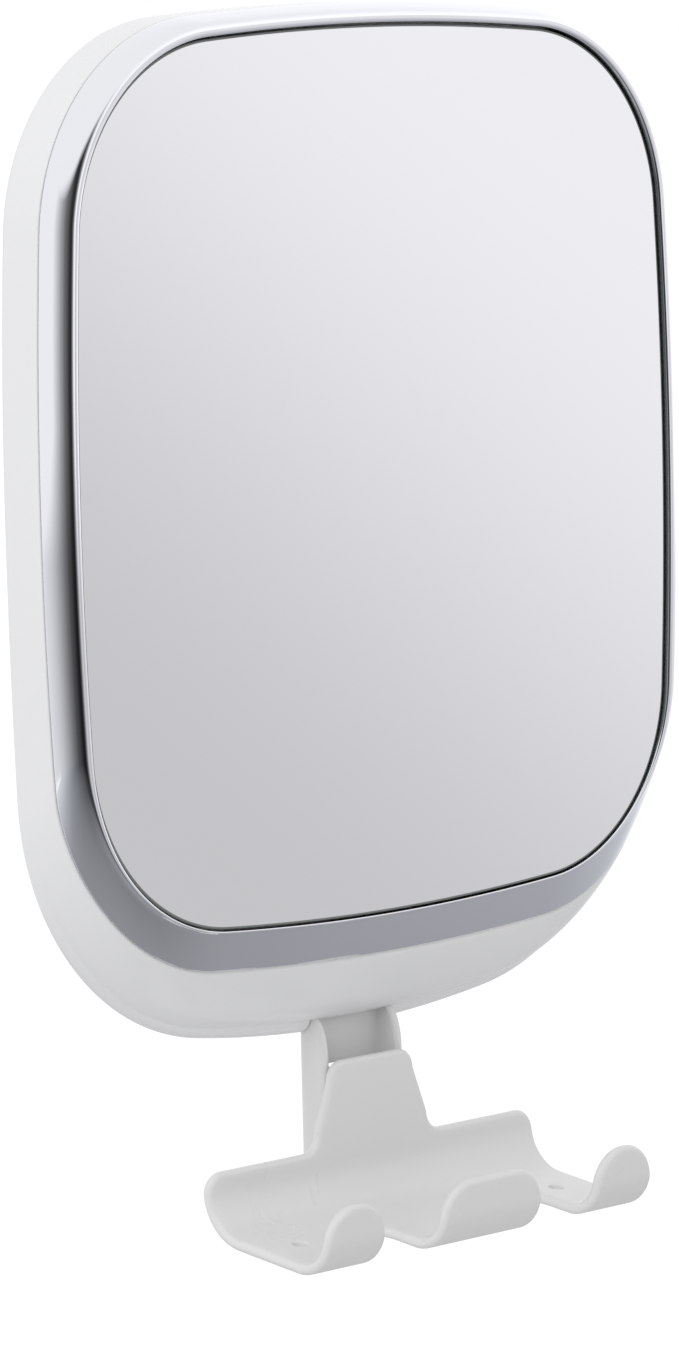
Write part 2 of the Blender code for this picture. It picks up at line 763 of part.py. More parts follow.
def hanger_bracket(look):
    """A flat tab in the rear cover's notch, which becomes a U-channel below the chin."""
    outline = rectangle(-BRACKET_HALF_WIDTH, BRACKET_HALF_WIDTH, bracket_low, bracket_high)
    made = prism("hanger_bracket", outline, "Y", -bracket_front, -head_back, look)
    front = -(bracket_front + OVERRUN)
    channel = rectangle(
        -channel_half_width, channel_half_width, bracket_low - OVERRUN, bracket_high + OVERRUN
    )
    cut(made, prism("channel_bracket", channel, "Y", front, -channel_back, look))
    shoulder_low = chin_low - SHOULDER_BELOW_CHIN
    shoulder_back = bracket_front - SHOULDER_SWEEP
    last_deg = math.degrees(math.acos((neck_front - shoulder_back) / SHOULDER_SWEEP))
    shoulder = [(front, shoulder_low)]
    for forward, rise in arc((0.0, 0.0), 1.0, 0.0, last_deg):
        shoulder.append((-(shoulder_back + SHOULDER_SWEEP * forward), shoulder_low + SHOULDER_RISE * rise))
    shoulder += [(-neck_front, bracket_high + OVERRUN), (front, bracket_high + OVERRUN)]
    side = BRACKET_HALF_WIDTH + OVERRUN
    cut(made, prism("shoulder_bracket", shoulder, "X", -side, side, look))
    window_half_width = HOOK_HALF_WIDTH + GAP
    window_high = hook_high + LIFT_TRAVEL + GAP
    window = rectangle(-window_half_width, window_half_width, hook_low - GAP, window_high)
    back = OVERRUN - head_back
    cut(made, prism("window_bracket", window, "Y", -(channel_back + OVERRUN), back, look))
    for x, z in bracket_screw_places():
        screw_hole(made, x, z, head_back - OVERRUN, channel_back + OVERRUN)
    return made


# The razor holder


def holder_path():
    """The trough's middle line in (forward, up) with its headings: plate, heel, floor, toe and finger."""
    floor_deg = -FLOOR_SLOPE_DEG
    finger_deg = 90.0 - FINGER_LEAN_DEG
    forward = plate_middle
    path = [(forward, tongue_high, -90.0), (forward, plate_high - PLATE_STRAIGHT, -90.0)]

    def bend(radius, end_deg):
        x, z, start_deg = path[-1]
        start = math.radians(start_deg)
        centre = (x - radius * math.sin(start), z + radius * math.cos(start))
        for i in range(1, ARC_STEPS + 1):
            heading = start_deg + (end_deg - start_deg) * i / ARC_STEPS
            turn = math.radians(heading)
            place = (centre[0] + radius * math.sin(turn), centre[1] - radius * math.cos(turn))
            path.append((*place, heading))

    def run(length):
        x, z, heading = path[-1]
        turn = math.radians(heading)
        path.append((x + length * math.cos(turn), z + length * math.sin(turn), heading))

    bend(HEEL_RADIUS, floor_deg)
    run(FLOOR_LENGTH)
    bend(TOE_RADIUS, finger_deg)
    run(FINGER_LENGTH)
    return path


def holder_section():
    """The J-shaped section as (Y, Z) points: the path's two sides, a wall apart."""
    half = HOLDER_WALL / 2
    sides = []
    for side in (half, -half):
        points = []
        for forward, z, heading in holder_path():
            turn = math.radians(heading)
            points.append((-(forward - side * math.sin(turn)), z + side * math.cos(turn)))
        sides.append(points)
    return sides[0] + sides[1][::-1]


def shoulder_outline(side):
    """What is cut from the plate beside the tongue, seen from the front; side is -1 or 1."""
    outer = PLATE_HALF_WIDTH + OVERRUN
    over = tongue_high + OVERRUN
    low = plate_high - PLATE_CORNER
    corner_x = PLATE_HALF_WIDTH - PLATE_CORNER
    fillet = (plate_neck_half_width + TONGUE_FILLET, plate_high + TONGUE_FILLET)
    crown = (TONGUE_HALF_WIDTH - TONGUE_CORNER, tongue_high - TONGUE_CORNER)
    points = [(outer, low), (PLATE_HALF_WIDTH, low)]
    points += arc((corner_x, low), PLATE_CORNER, 0.0, 90.0)[1:]
    points += arc(fillet, TONGUE_FILLET, 270.0, 180.0)
    points += arc(crown, TONGUE_CORNER, 0.0, 90.0)
    points += [(crown[0], over), (outer, over)]
    return [(side * x, z) for x, z in points]


def slot_outline(side, tip):
    """A slot between two fingers, seen from the front, which opens out round their tips."""
    inner = MIDDLE_FINGER_HALF_WIDTH
    outer = inner + SLOT_WIDTH
    low = tip - FINGER_LENGTH - HEEL_RADIUS - FLOOR_LENGTH
    shoulder = tip - FINGER_ROUND
    points = [(inner, low)]
    points += arc((inner - FINGER_ROUND, shoulder), FINGER_ROUND, 0.0, 90.0)
    points += [(inner - FINGER_ROUND, tip + OVERRUN), (outer + FINGER_ROUND, tip + OVERRUN)]
    points += arc((outer + FINGER_ROUND, shoulder), FINGER_ROUND, 90.0, 180.0)
    points += [(outer, low)]
    return [(side * x, z) for x, z in points]


def tip_outline(side, tip):
    """What is cut from the end finger's outer corner."""
    shoulder = tip - FINGER_ROUND
    outer = PLATE_HALF_WIDTH + OVERRUN
    points = [(outer, shoulder), (PLATE_HALF_WIDTH, shoulder)]
    points += arc((PLATE_HALF_WIDTH - FINGER_ROUND, shoulder), FINGER_ROUND, 0.0, 90.0)[1:]
    points += [(PLATE_HALF_WIDTH - FINGER_ROUND, tip + OVERRUN), (outer, tip + OVERRUN)]
    return [(side * x, z) for x, z in points]


def razor_holder(look):
    section = holder_section()
    made = prism("razor_holder", section, "X", -PLATE_HALF_WIDTH, PLATE_HALF_WIDTH, look)
    path = holder_path()
    toe_forward = path[-1 - ARC_STEPS - 1][0]
    tip = max(z for _, z in section[len(path) - 1 : len(path) + 1])
    far = -(path[-1][0] + HOLDER_WALL + OVERRUN)
    finger_back = -(toe_forward - TOE_RADIUS)
    slot_end = -(path[-1][0] - SLOT_REACH)
    plate_cut = (-(plate_back + HOLDER_WALL + OVERRUN), OVERRUN - plate_back)
    floor_low = min(z for _, z in section) - OVERRUN
    for side, word in ((-1.0, "left"), (1.0, "right")):
        shoulder = prism(f"{word}_shoulder", shoulder_outline(side), "Y", *plate_cut, look)
        cut(made, shoulder)
        cut(made, prism(f"{word}_slot", slot_outline(side, tip), "Y", far, slot_end, look))
        slot_middle = side * (MIDDLE_FINGER_HALF_WIDTH + SLOT_WIDTH / 2)
        end = circle((slot_middle, slot_end), SLOT_WIDTH / 2, 2 * SMALL_TURN_STEPS)
        cut(made, prism(f"{word}_slot_end", end, "Z", floor_low, tip + OVERRUN, look))
        cut(made, prism(f"{word}_tip", tip_outline(side, tip), "Y", far, finger_back, look))
        heel_forward = path[1 + ARC_STEPS][0]
        drain_y = -(heel_forward + DRAIN_SHARE * (toe_forward - heel_forward))
        drain = circle((side * DRAIN_X, drain_y), DRAIN_RADIUS)
        cut(made, prism(f"{word}_drain", drain, "Z", floor_low, tip + OVERRUN, look))
    slider_high = tongue_high - SLIDER_TOP
    slider = rectangle(
        -(plate_back + HOLDER_WALL / 2),
        -(channel_back + GAP),
        slider_high - SLIDER_HEIGHT,
        slider_high,
    )
    slider_side = channel_half_width - GAP
    join(made, prism("slider", slider, "X", -slider_side, slider_side, look))
    hook_back = head_back - GAP - HOOK_TIP
    hook = [
        (-(channel_back + OVERRUN), hook_low),
        (-(head_back - GAP), hook_low),
        (-(head_back - GAP), hook_low - HOOK_DROP),
        (-hook_back, hook_low - HOOK_DROP),
        (-hook_back, hook_high),
        (-(channel_back + OVERRUN), hook_high),
    ]
    join(made, prism("hook", hook, "X", -HOOK_HALF_WIDTH, HOOK_HALF_WIDTH, look))
    return made


def main():
    clear_scene()
    white = material("gloss_white_plastic", (0.86, 0.87, 0.88), 0.22)
    warm_white = material("satin_white_plastic", (0.84, 0.84, 0.82), 0.34)
    chrome = material("chrome_plating", (0.80, 0.81, 0.83), 0.06, 1.0)
    silver = material("silvered_pane", (0.90, 0.91, 0.92), 0.02, 1.0)
    foam = material("tape_foam", (0.12, 0.12, 0.12), 0.9)
    steel = material("screw_steel", (0.62, 0.63, 0.65), 0.3, 1.0)
    soft = material("cup_rubber", (0.78, 0.80, 0.82), 0.45)
    nylon = material("joint_nylon", (0.30, 0.31, 0.33), 0.5)

    cup = suction_cup(soft)
    wall_mount = joint_empty("wall_mount_frame", (0.0, 0.0, 0.0))
    carry(wall_mount, cup, cup_stud(steel), ball_post(steel))

    bell = joint_empty("shell_slide_axis", (0.0, -shell_back, 0.0), wall_mount)
    carry(bell, mount_shell(white), thrust_washer(nylon))
    turn = joint_empty("lock_ring_axis", (0.0, -ring_back, 0.0), bell)
    carry(turn, lock_ring(warm_white))

    ball_centre = (0.0, -ball_out, 0.0)
    pan = joint_empty("head_pan_axis", ball_centre, wall_mount)
    carry(pan, joint_shell("ball_liner", liner_in, LINER_WALL, nylon))
    tilt = joint_empty("head_tilt_axis", ball_centre, pan)
    carry(tilt, joint_shell("socket_bush", bush_in, BUSH_WALL, nylon))

    head = joint_empty("head_spin_axis", ball_centre, tilt)
    carry(head, socket_base(warm_white), socket_ring(warm_white))
    ring_flange_back = socket_split - SOCKET_FLANGE
    through = cover_front - ring_flange_back + SOCKET_BOSS - OVERRUN
    for i, (x, z) in enumerate(socket_screw_places(), 1):
        carry(head, screw(f"socket_screw_{i}", x, z, ring_flange_back, through, steel))
    carry(head, mirror_pane(silver), pane_tape(foam), chrome_bezel(chrome))
    carry(head, head_shell(white), rear_cover(white))
    for i, (x, z) in enumerate(cover_screw_places(), 1):
        carry(head, screw(f"cover_screw_{i}", x, z, head_back, SCREW_LENGTH, steel))
    carry(head, hanger_bracket(warm_white))
    for word, (x, z) in zip(("left", "right"), bracket_screw_places()):
        carry(head, screw(f"bracket_screw_{word}", x, z, head_back, SCREW_LENGTH, steel))

    lift = joint_empty("holder_lift_axis", (0.0, -plate_back, plate_high), head)
    carry(lift, razor_holder(warm_white))


main()
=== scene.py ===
"""The looks of a fogless shower mirror: a bowed pane in a chrome bezel on a white housing, a hanger bracket under its
chin, a lift-off trough with three fingers, and behind it the ball joint and the suction mount.

Lengths are metres. +X is to the viewer's right, +Y runs into the wall, +Z is up, and "out" is the distance from the
wall. Every shape is a surface worked out on a grid, or a profile carried along a path.
"""

import math

import bmesh
import bpy
import numpy as np
from bpy.props import FloatProperty, FloatVectorProperty, PointerProperty
from mathutils import Matrix, Vector
from mathutils.geometry import delaunay_2d_cdt


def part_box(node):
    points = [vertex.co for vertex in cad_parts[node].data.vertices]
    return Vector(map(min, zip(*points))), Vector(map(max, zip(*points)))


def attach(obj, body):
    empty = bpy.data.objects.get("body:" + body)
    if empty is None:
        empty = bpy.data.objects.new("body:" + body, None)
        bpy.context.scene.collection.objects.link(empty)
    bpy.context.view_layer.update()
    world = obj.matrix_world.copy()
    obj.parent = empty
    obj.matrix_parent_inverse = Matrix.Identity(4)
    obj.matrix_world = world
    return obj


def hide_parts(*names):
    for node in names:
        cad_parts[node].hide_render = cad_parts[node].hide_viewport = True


bl_info = {
    "name": "Shower Mirror",
    "version": (1, 0, 0),
    "blender": (4, 5, 0),
    "location": "View3D > Sidebar > Shower Mirror",
    "description": "Builds the detailed pieces of a fogless shower mirror round its packed frame",
    "category": "Add Mesh",
}

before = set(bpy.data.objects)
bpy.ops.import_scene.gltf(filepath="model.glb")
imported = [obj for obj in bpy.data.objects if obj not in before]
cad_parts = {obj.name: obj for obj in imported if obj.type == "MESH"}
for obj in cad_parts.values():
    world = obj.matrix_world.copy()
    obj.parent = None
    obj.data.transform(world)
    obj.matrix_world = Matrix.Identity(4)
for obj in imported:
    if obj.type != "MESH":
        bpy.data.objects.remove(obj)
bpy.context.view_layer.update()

MM = 0.001
pane_low, pane_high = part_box("mirror_pane")
bezel_low, bezel_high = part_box("chrome_bezel")
shell_low, shell_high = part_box("head_shell")
cover_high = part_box("rear_cover")[1]
bracket_low, bracket_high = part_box("hanger_bracket")
holder_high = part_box("razor_holder")[1]
tape_low, tape_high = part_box("pane_tape")
stud_low, stud_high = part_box("cup_stud")
post_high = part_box("ball_post")[1]
bell_low, bell_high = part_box("mount_shell")
washer_low, washer_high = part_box("thrust_washer")
nut_low, nut_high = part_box("lock_ring")

# Steps along the shapes
SIDE_STEPS = 20
CORNER_STEPS = 52
END_STEPS = 20
TURN_STEPS = 96
ROLL_STEPS = 12
RIM_STEPS = 5

# How much of a sheet's half thickness its rim's half round takes up
RIM_SHARE = 0.98

# The holder's lengths along its middle line, and its outline on the flat
TONGUE_HEIGHT = 17.7 * MM
TONGUE_HALF_WIDTH = 12.3 * MM
TONGUE_FLARE = 3.8 * MM
PLATE_STRAIGHT = 3.1 * MM
HEEL_RADIUS = 10.5 * MM
FLOOR_LENGTH = 16.3 * MM
FLOOR_DEG = -9.0
TOE_RADIUS = 6.8 * MM
FINGER_LENGTH = 6.6 * MM
FINGER_DEG = 85.0
FINGER_ROUND = 8.0 * MM
SLOT_INNER = 14.5 * MM
SLOT_OUTER = 31.3 * MM
SLOT_REACH = 13.0 * MM

# The bracket's window for the hook
WINDOW_HALF_WIDTH = 5.3 * MM
WINDOW_LOW = -132.1 * MM
WINDOW_HIGH = -121.3 * MM

# The head's outline
SIDE_BOW = 820 * MM
END_BOW = 631 * MM
PANE_CORNER = 39 * MM
CHIN_ARCS = np.array([1500, 290, 55]) * MM
FOOT_LIP = 0.7 * MM
FOOT_SEAT = 5 * MM
FOOT_RISE = 0.3 * MM
FOOT_AT_BEZEL = 8.8 * MM
FOOT_BEZEL_DEPTH = 3 * MM
FOOT_AT_TURN = 22.5 * MM
FOOT_LOWEST = 25.3 * MM
CHIN_TURN_DEPTH = 13 * MM
BEZEL_WALL = 2 * MM
HEAD_WALL = 2.4 * MM
BACK_ROUND = 2 * MM
RIDGE_MARGIN = 1.7 * MM
ROLL_DEPTH = 5.6 * MM
DECK = 2 * MM
COVER = 2.2 * MM
TAPE_INSET = 6 * MM
TAPE_WIDTH = 12 * MM
GAP = 0.3 * MM
PANE_PLAY = 0.4 * MM
NOTCH_ROUND = 0.8 * MM
SCREW_HOLE = 1.7 * MM
SCREW_HEAD = 1.6 * MM
COVER_OPENING = 13.1 * MM

# The ball joint
BALL_RADIUS = 8 * MM
BALL_OUT = 41 * MM
BALL_NECK = 3.5 * MM
MOUTH_DEG = 135.0
LINER_WALL = 1.3 * MM
LINER_RADIUS = BALL_RADIUS + GAP
BUSH_RADIUS = BALL_RADIUS + 1.9 * MM
SOCKET_INSIDE = 11.5 * MM
SOCKET_OUTSIDE = 14 * MM
SOCKET_FLANGE = 24 * MM
SOCKET_SPLIT = 1.9 * MM
RING_FLANGE_WALL = 2.5 * MM

# The suction mount
BORE_RADIUS = 6.3 * MM

pane_front = -pane_low.y
pane_back = -pane_high.y
head_back = -shell_high.y
bezel_back = -bezel_high.y
deck_front = -tape_high.y - GAP
deck_back = deck_front - DECK
cover_front = head_back + COVER
pane_half_width = pane_high.x
pane_half_height = pane_high.z
bezel_margin = bezel_high.x - pane_half_width
ridge_rise = -bezel_low.y - pane_front
bezel_depth = pane_front - bezel_back
head_depth = pane_front - head_back
notch_half_width = bracket_high.x + GAP
chin_low = shell_low.z


# Sizes and finishes that a user would change


def length_property(name, description, default):
    return FloatProperty(name=name, description=description, default=default, unit="LENGTH", subtype="DISTANCE")


def colour_property(name, description, default):
    return FloatVectorProperty(
        name=name, description=description, default=default, size=3, min=0.0, max=1.0, subtype="COLOR"
    )


class MirrorSizes(bpy.types.PropertyGroup):
    """Sizes of the details that the solids leave to this script, and the strength of the light."""

    pane_edge: length_property("Pane edge", "Radius of the polished edge of the pane", 0.3 * MM)
    holder_wall: length_property("Holder wall", "Thickness of the razor holder", 2.2 * MM)
    bracket_wall: length_property("Bracket wall", "Thickness of the hanger bracket", 2.0 * MM)
    floor_drop: length_property("Floor drop", "How far below the wall fixing the floor lies", 0.55)
    ambient: FloatProperty(
        name="Ambient light", description="Strength of the even light from all round", default=0.67, min=0.0
    )
    key_light: FloatProperty(
        name="Key light", description="Power of the large lamp at the upper left", default=13.5, min=0.0, unit="POWER"
    )


class MirrorFinishes(bpy.types.PropertyGroup):
    """Colours of the finishes."""

    gloss_white: colour_property("Gloss white", "Housing, cover and mount shell", (0.86, 0.865, 0.875))
    satin_white: colour_property("Satin white", "Holder, bracket, sockets and lock ring", (0.79, 0.79, 0.79))
    chrome: colour_property("Chrome", "Plated bezel", (0.82, 0.83, 0.86))
    silvering: colour_property("Silvering", "Reflecting face of the pane", (0.95, 0.955, 0.96))
    backing: colour_property("Backing paint", "Painted back and edge of the pane", (0.20, 0.22, 0.21))
    foam: colour_property("Foam", "Foam tape behind the pane", (0.10, 0.10, 0.105))
    steel: colour_property("Steel", "Screws, stud and ball post", (0.62, 0.63, 0.65))
    nylon: colour_property("Nylon", "Ball liner, bush and washer", (0.27, 0.28, 0.30))
    cup_rubber: colour_property("Cup rubber", "Soft suction cup", (0.74, 0.77, 0.79))


def sizes():
    return bpy.context.scene.shower_mirror_sizes


def finishes():
    return bpy.context.scene.shower_mirror_finishes


# Node groups and materials


def new_group(name, inputs, outputs):
    """An empty node group with its named numbers in and out, and its two end nodes."""
    group = bpy.data.node_groups.new(name, "ShaderNodeTree")
    for word, value in inputs.items():
        socket = group.interface.new_socket(word, in_out="INPUT", socket_type="NodeSocketFloat")
        socket.default_value = value
    for word in outputs:
        group.interface.new_socket(word, in_out="OUTPUT", socket_type="NodeSocketFloat")
    return group, group.nodes.new("NodeGroupInput"), group.nodes.new("NodeGroupOutput")


def new_material(name):
    """An empty material and its node tree."""
    made = bpy.data.materials.new(name)
    made.use_nodes = True
    return made, made.node_tree


def add_node(tree, kind, links=(), **settings):
    """A node with its settings, its numbered or named inputs set by value or joined to a socket."""
    node = tree.nodes.new(kind)
    for word, value in settings.items():
        setattr(node, word, value)
    for word, value in dict(links).items():
        if isinstance(value, bpy.types.NodeSocket):
            tree.links.new(value, node.inputs[word])
        else:
            node.inputs[word].default_value = value
    return node


def calculate(tree, operation, first, second):
    """The result of a sum with two numbers."""
    return add_node(tree, "ShaderNodeMath", {0: first, 1: second}, operation=operation).outputs[0]


def mapped(tree, value, low, high, to_low=0.0, to_high=1.0, kind="LINEAR"):
    """The value carried from the span low to high over to another span, and held at both ends."""
    limits = {"From Min": low, "From Max": high, "To Min": to_low, "To Max": to_high}
    return add_node(tree, "ShaderNodeMapRange", {"Value": value, **limits}, interpolation_type=kind).outputs[0]


def blend(tree, share, first, second, kind="FLOAT"):
    """first where the share is 0 and second where it is 1: numbers, or colours with the kind RGBA."""
    made = add_node(tree, "ShaderNodeMix", {"Factor": share, "A": first, "B": second}, data_type=kind)
    return made.outputs[2 if kind == "RGBA" else 0]


def speckle(tree, place, scale, detail, **more):
    """A noise over the place."""
    return add_node(tree, "ShaderNodeTexNoise", {"Vector": place, "Scale": scale, "Detail": detail, **more}).outputs[0]


def surface_marks_group():
    """Smudges, a fine moulding grain and a slow drift of tone, each a noise over the object's own coordinates."""
    made = bpy.data.node_groups.get("surface_marks")
    if made:
        return made
    scales = {"Grain scale": 900.0, "Smudge scale": 28.0, "Stretch": 1.0}
    made, given, out = new_group("surface_marks", scales, ["Grain", "Smudge", "Drift"])
    place = add_node(made, "ShaderNodeTexCoord").outputs["Object"]
    stretch = add_node(made, "ShaderNodeCombineXYZ", {"X": 1.0, "Y": 1.0, "Z": given.outputs["Stretch"]}).outputs[0]
    drawn = add_node(made, "ShaderNodeVectorMath", {0: place, 1: stretch}, operation="MULTIPLY").outputs[0]
    grain = speckle(made, drawn, given.outputs["Grain scale"], 3.0, Roughness=0.55)
    smudge = speckle(made, drawn, given.outputs["Smudge scale"], 5.0, Roughness=0.6, Distortion=0.4)
    drift = speckle(made, place, 9.0, 1.0)
    made.links.new(grain, out.inputs["Grain"])
    made.links.new(mapped(made, smudge, 0.3, 0.7), out.inputs["Smudge"])
    made.links.new(mapped(made, drift, 0.3, 0.7), out.inputs["Drift"])
    return made


def edge_wear_group():
    """A mask of the outer edges, broken up by noise, from how sharply the surface turns."""
    made = bpy.data.node_groups.get("edge_wear")
    if made:
        return made
    made, given, out = new_group("edge_wear", {"Start": 0.52, "End": 0.60, "Break scale": 160.0}, ["Wear"])
    turn = add_node(made, "ShaderNodeNewGeometry").outputs["Pointiness"]
    edge = mapped(made, turn, given.outputs["Start"], given.outputs["End"])
    place = add_node(made, "ShaderNodeTexCoord").outputs["Object"]
    broken = mapped(made, speckle(made, place, given.outputs["Break scale"], 4.0), 0.42, 0.62)
    made.links.new(calculate(made, "MULTIPLY", edge, broken), out.inputs["Wear"])
    return made


def new_finish(
    name, colour, roughness, tint, worn=None, grain=900.0, smudge=28.0, stretch=1.0, bump=0.01, metallic=0.0
):
    """A material whose colour drifts and wears at its edges, whose roughness follows its smudges and whose grain
    raises a fine bump. roughness is (clean, smudged) and bump is a height in millimetres."""
    made, tree = new_material(name)
    shader = tree.nodes["Principled BSDF"]
    scales = {"Grain scale": grain, "Smudge scale": smudge, "Stretch": stretch}
    marks = add_node(tree, "ShaderNodeGroup", scales, node_tree=surface_marks_group()).outputs
    wear = add_node(tree, "ShaderNodeGroup", node_tree=edge_wear_group()).outputs["Wear"]
    worn = [min(1.0, part * 1.04) for part in colour] if worn is None else worn
    drifted = [part * tint for part in colour]
    base = blend(tree, marks["Drift"], (*colour, 1.0), (*drifted, 1.0), "RGBA")
    edged = blend(tree, wear, base, (*worn, 1.0), "RGBA")
    rough = mapped(tree, marks["Smudge"], 0.0, 1.0, *roughness)
    lift = add_node(tree, "ShaderNodeBump", {"Strength": 1.0, "Distance": bump * MM, "Height": marks["Grain"]})
    tree.links.new(edged, shader.inputs["Base Color"])
    tree.links.new(rough, shader.inputs["Roughness"])
    tree.links.new(lift.outputs[0], shader.inputs["Normal"])
    shader.inputs["Metallic"].default_value = metallic
    return made


# Each finish by its colour's name: the material's name, its roughness, its tint and what differs from the others
FINISHES = {
    "gloss_white": ("gloss_white_plastic", (0.16, 0.24), 0.985, {"grain": 500.0, "bump": 0.0008}),
    "satin_white": ("satin_white_plastic", (0.26, 0.36), 0.98, {"bump": 0.002}),
    "chrome": (
        "plated_chrome", (0.035, 0.075), 0.985, {"grain": 260.0, "smudge": 60.0, "bump": 0.0006, "metallic": 1.0}
    ),
    "silvering": ("silvered_glass", (0.0, 0.012), 0.995, {"grain": 60.0, "smudge": 14.0, "bump": 0.0, "metallic": 1.0}),
    "backing": ("backing_paint", (0.45, 0.6), 0.9, {"grain": 1400.0}),
    "foam": ("tape_foam", (0.85, 0.95), 0.7, {"grain": 2200.0, "bump": 0.08}),
    "steel": (
        "turned_steel", (0.22, 0.36), 0.9,
        {"worn": (0.78, 0.79, 0.80), "grain": 1500.0, "stretch": 0.2, "bump": 0.004, "metallic": 1.0},
    ),
    "nylon": ("joint_nylon", (0.40, 0.52), 0.9, {"grain": 1200.0, "bump": 0.012}),
    "cup_rubber": ("cup_rubber", (0.34, 0.46), 0.94, {"grain": 1100.0, "bump": 0.008}),
}


def finish_of(word):
    """The material of a finish, made when it is first wanted."""
    name, roughness, tint, rest = FINISHES[word]
    return bpy.data.materials.get(name) or new_finish(name, getattr(finishes(), word), roughness, tint, **rest)


# Curves in the plane


def arc(centre, radius, start, end, steps):
    """Points on a circle, centre + radius (cos a, sin a), as a runs from start to end in degrees."""
    angle = angles(start, end, steps)
    return np.stack([centre[0] + radius * np.cos(angle), centre[1] + radius * np.sin(angle)], axis=1)


def angles(start, end, steps):
    """Evenly spaced angles from start to end, given in degrees and made radians."""
    return np.radians(np.linspace(start, end, steps + 1))


def eased(points, radius, steps=4, closed=False):
    """The polyline with each corner swapped for a curve that starts and ends a radius away from it, or less than
    half an edge: (1-t)^2 start + 2t(1-t) corner + t^2 end."""
    points = np.asarray(points, float)
    count = len(points)
    made = []
    share = np.linspace(0.0, 1.0, steps + 1)[:, None]
    for i in range(count):
        here = points[i]
        if not closed and i in (0, count - 1):
            made.append(here[None])
            continue
        back = points[i - 1] - here
        ahead = points[(i + 1) % count] - here
        reach = [min(radius, 0.45 * np.linalg.norm(edge)) / np.linalg.norm(edge) for edge in (back, ahead)]
        start = here + back * reach[0]
        end = here + ahead * reach[1]
        made.append((1.0 - share) ** 2 * start + 2.0 * share * (1.0 - share) * here + share**2 * end)
    return np.concatenate(made)


def resampled(loop, step):
    """The closed loop with more points, no two further apart than a step, and its own points kept."""
    closed = np.vstack([loop, loop[:1]])
    length = np.concatenate([[0.0], np.cumsum(np.linalg.norm(np.diff(closed, axis=0), axis=1))])
    places = np.union1d(length[:-1], np.arange(0.0, length[-1], step))
    places = places[np.concatenate([[True], np.diff(places) > 0.2 * step]) | np.isin(places, length)]
    places = places[places < length[-1] - 0.2 * step]
    return np.stack([np.interp(places, length, closed[:, i]) for i in (0, 1)], axis=1)


def inset(loop, distance):
    """The closed loop moved to its left. Each point goes along the sum of its two edges' normals, over one plus
    their product, so that both edges move by the distance."""
    edge = np.roll(loop, -1, axis=0) - loop
    normal = np.stack([-edge[:, 1], edge[:, 0]], axis=1)
    normal /= np.linalg.norm(normal, axis=1, keepdims=True)
    before = np.roll(normal, 1, axis=0)
    both = 1.0 + np.sum(before * normal, axis=1, keepdims=True)
    return loop + distance * (before + normal) / np.maximum(both, 0.3)


def inside(points, loops):
    """Which points lie in the area that the loops bound, by how often a ray to the right crosses them."""
    crossings = np.zeros(len(points), int)
    x, y = points[:, :1], points[:, 1:]
    for loop in loops:
        first, second = loop, np.roll(loop, -1, axis=0)
        spans = (first[:, 1] > y) != (second[:, 1] > y)
        rise = np.where(second[:, 1] == first[:, 1], 1.0, second[:, 1] - first[:, 1])
        meets = first[:, 0] + (y - first[:, 1]) / rise * (second[:, 0] - first[:, 0])
        crossings += np.sum(spans & (x < meets), axis=1)
    return crossings % 2 == 1


def mirrored(right):
    """A closed outline from its right half: up along it, and back along the same points with -x."""
    return np.concatenate([right, (right * [-1.0, 1.0])[::-1]])


def rounded_box(u_low, u_high, v_low, v_high, radius, steps=6):
    """A rectangle with rounded corners, anticlockwise."""
    corners = [(u_high, v_high, 0), (u_low, v_high, 90), (u_low, v_low, 180), (u_high, v_low, 270)]
    middle = ((u_low + u_high) / 2, (v_low + v_high) / 2)
    arcs = []
    for u, v, start in corners:
        centre = (u - math.copysign(radius, u - middle[0]), v - math.copysign(radius, v - middle[1]))
        arcs.append(arc(centre, radius, start, start + 90, steps))
    return np.concatenate(arcs)


def circle(centre, radius, steps=32):
    """A closed loop of points on a circle, anticlockwise."""
    return arc(centre, radius, 0, 360, steps)[:-1]


# Meshes


def linked(name, data):
    """An object for the data, in the scene."""
    obj = bpy.data.objects.new(name, data)
    bpy.context.scene.collection.objects.link(obj)
    return obj


def built(name, points, faces, looks, picks=None, sharp=35.0):
    """A mesh object from point and face arrays, its doubles merged, its faces out and its finishes named by looks."""
    mesh = bpy.data.meshes.new(name)
    mesh.from_pydata(points.tolist(), [], faces)
    if picks is not None:
        mesh.polygons.foreach_set("material_index", np.asarray(picks, np.int32))
    shape = bmesh.new()
    shape.from_mesh(mesh)
    bmesh.ops.remove_doubles(shape, verts=shape.verts, dist=2e-7)
    bmesh.ops.dissolve_degenerate(shape, edges=shape.edges, dist=1e-7)
    bmesh.ops.recalc_face_normals(shape, faces=shape.faces)
    shape.to_mesh(mesh)
    shape.free()
    mesh.shade_smooth()
    mesh.set_sharp_from_angle(angle=math.radians(sharp))
    for look in looks:
        mesh.materials.append(finish_of(look))
    return linked(name, mesh)


def grid_faces(rows, columns, wrap_rows=False):
    """Quads between neighbours on a grid whose columns close on themselves."""
    index = np.arange(rows * columns).reshape(rows, columns)
    lower = index if wrap_rows else index[:-1]
    upper = np.roll(index, -1, axis=0) if wrap_rows else index[1:]
    quads = np.stack([lower, np.roll(lower, -1, axis=1), np.roll(upper, -1, axis=1), upper], axis=-1)
    return quads.reshape(-1, 4)


def skin(name, rings, looks, wrap=False, sharp=35.0, picks=None):
    """A skin over rings of equal count: capped at both ends, or joined end to start."""
    rings = np.asarray(rings)
    rows, columns = rings.shape[:2]
    faces = grid_faces(rows, columns, wrap).tolist()
    if not wrap:
        faces.append(list(range(columns)))
        faces.append(list(range((rows - 1) * columns, rows * columns)))
    return built(name, rings.reshape(-1, 3), faces, looks, picks(rows, columns) if picks else None, sharp)


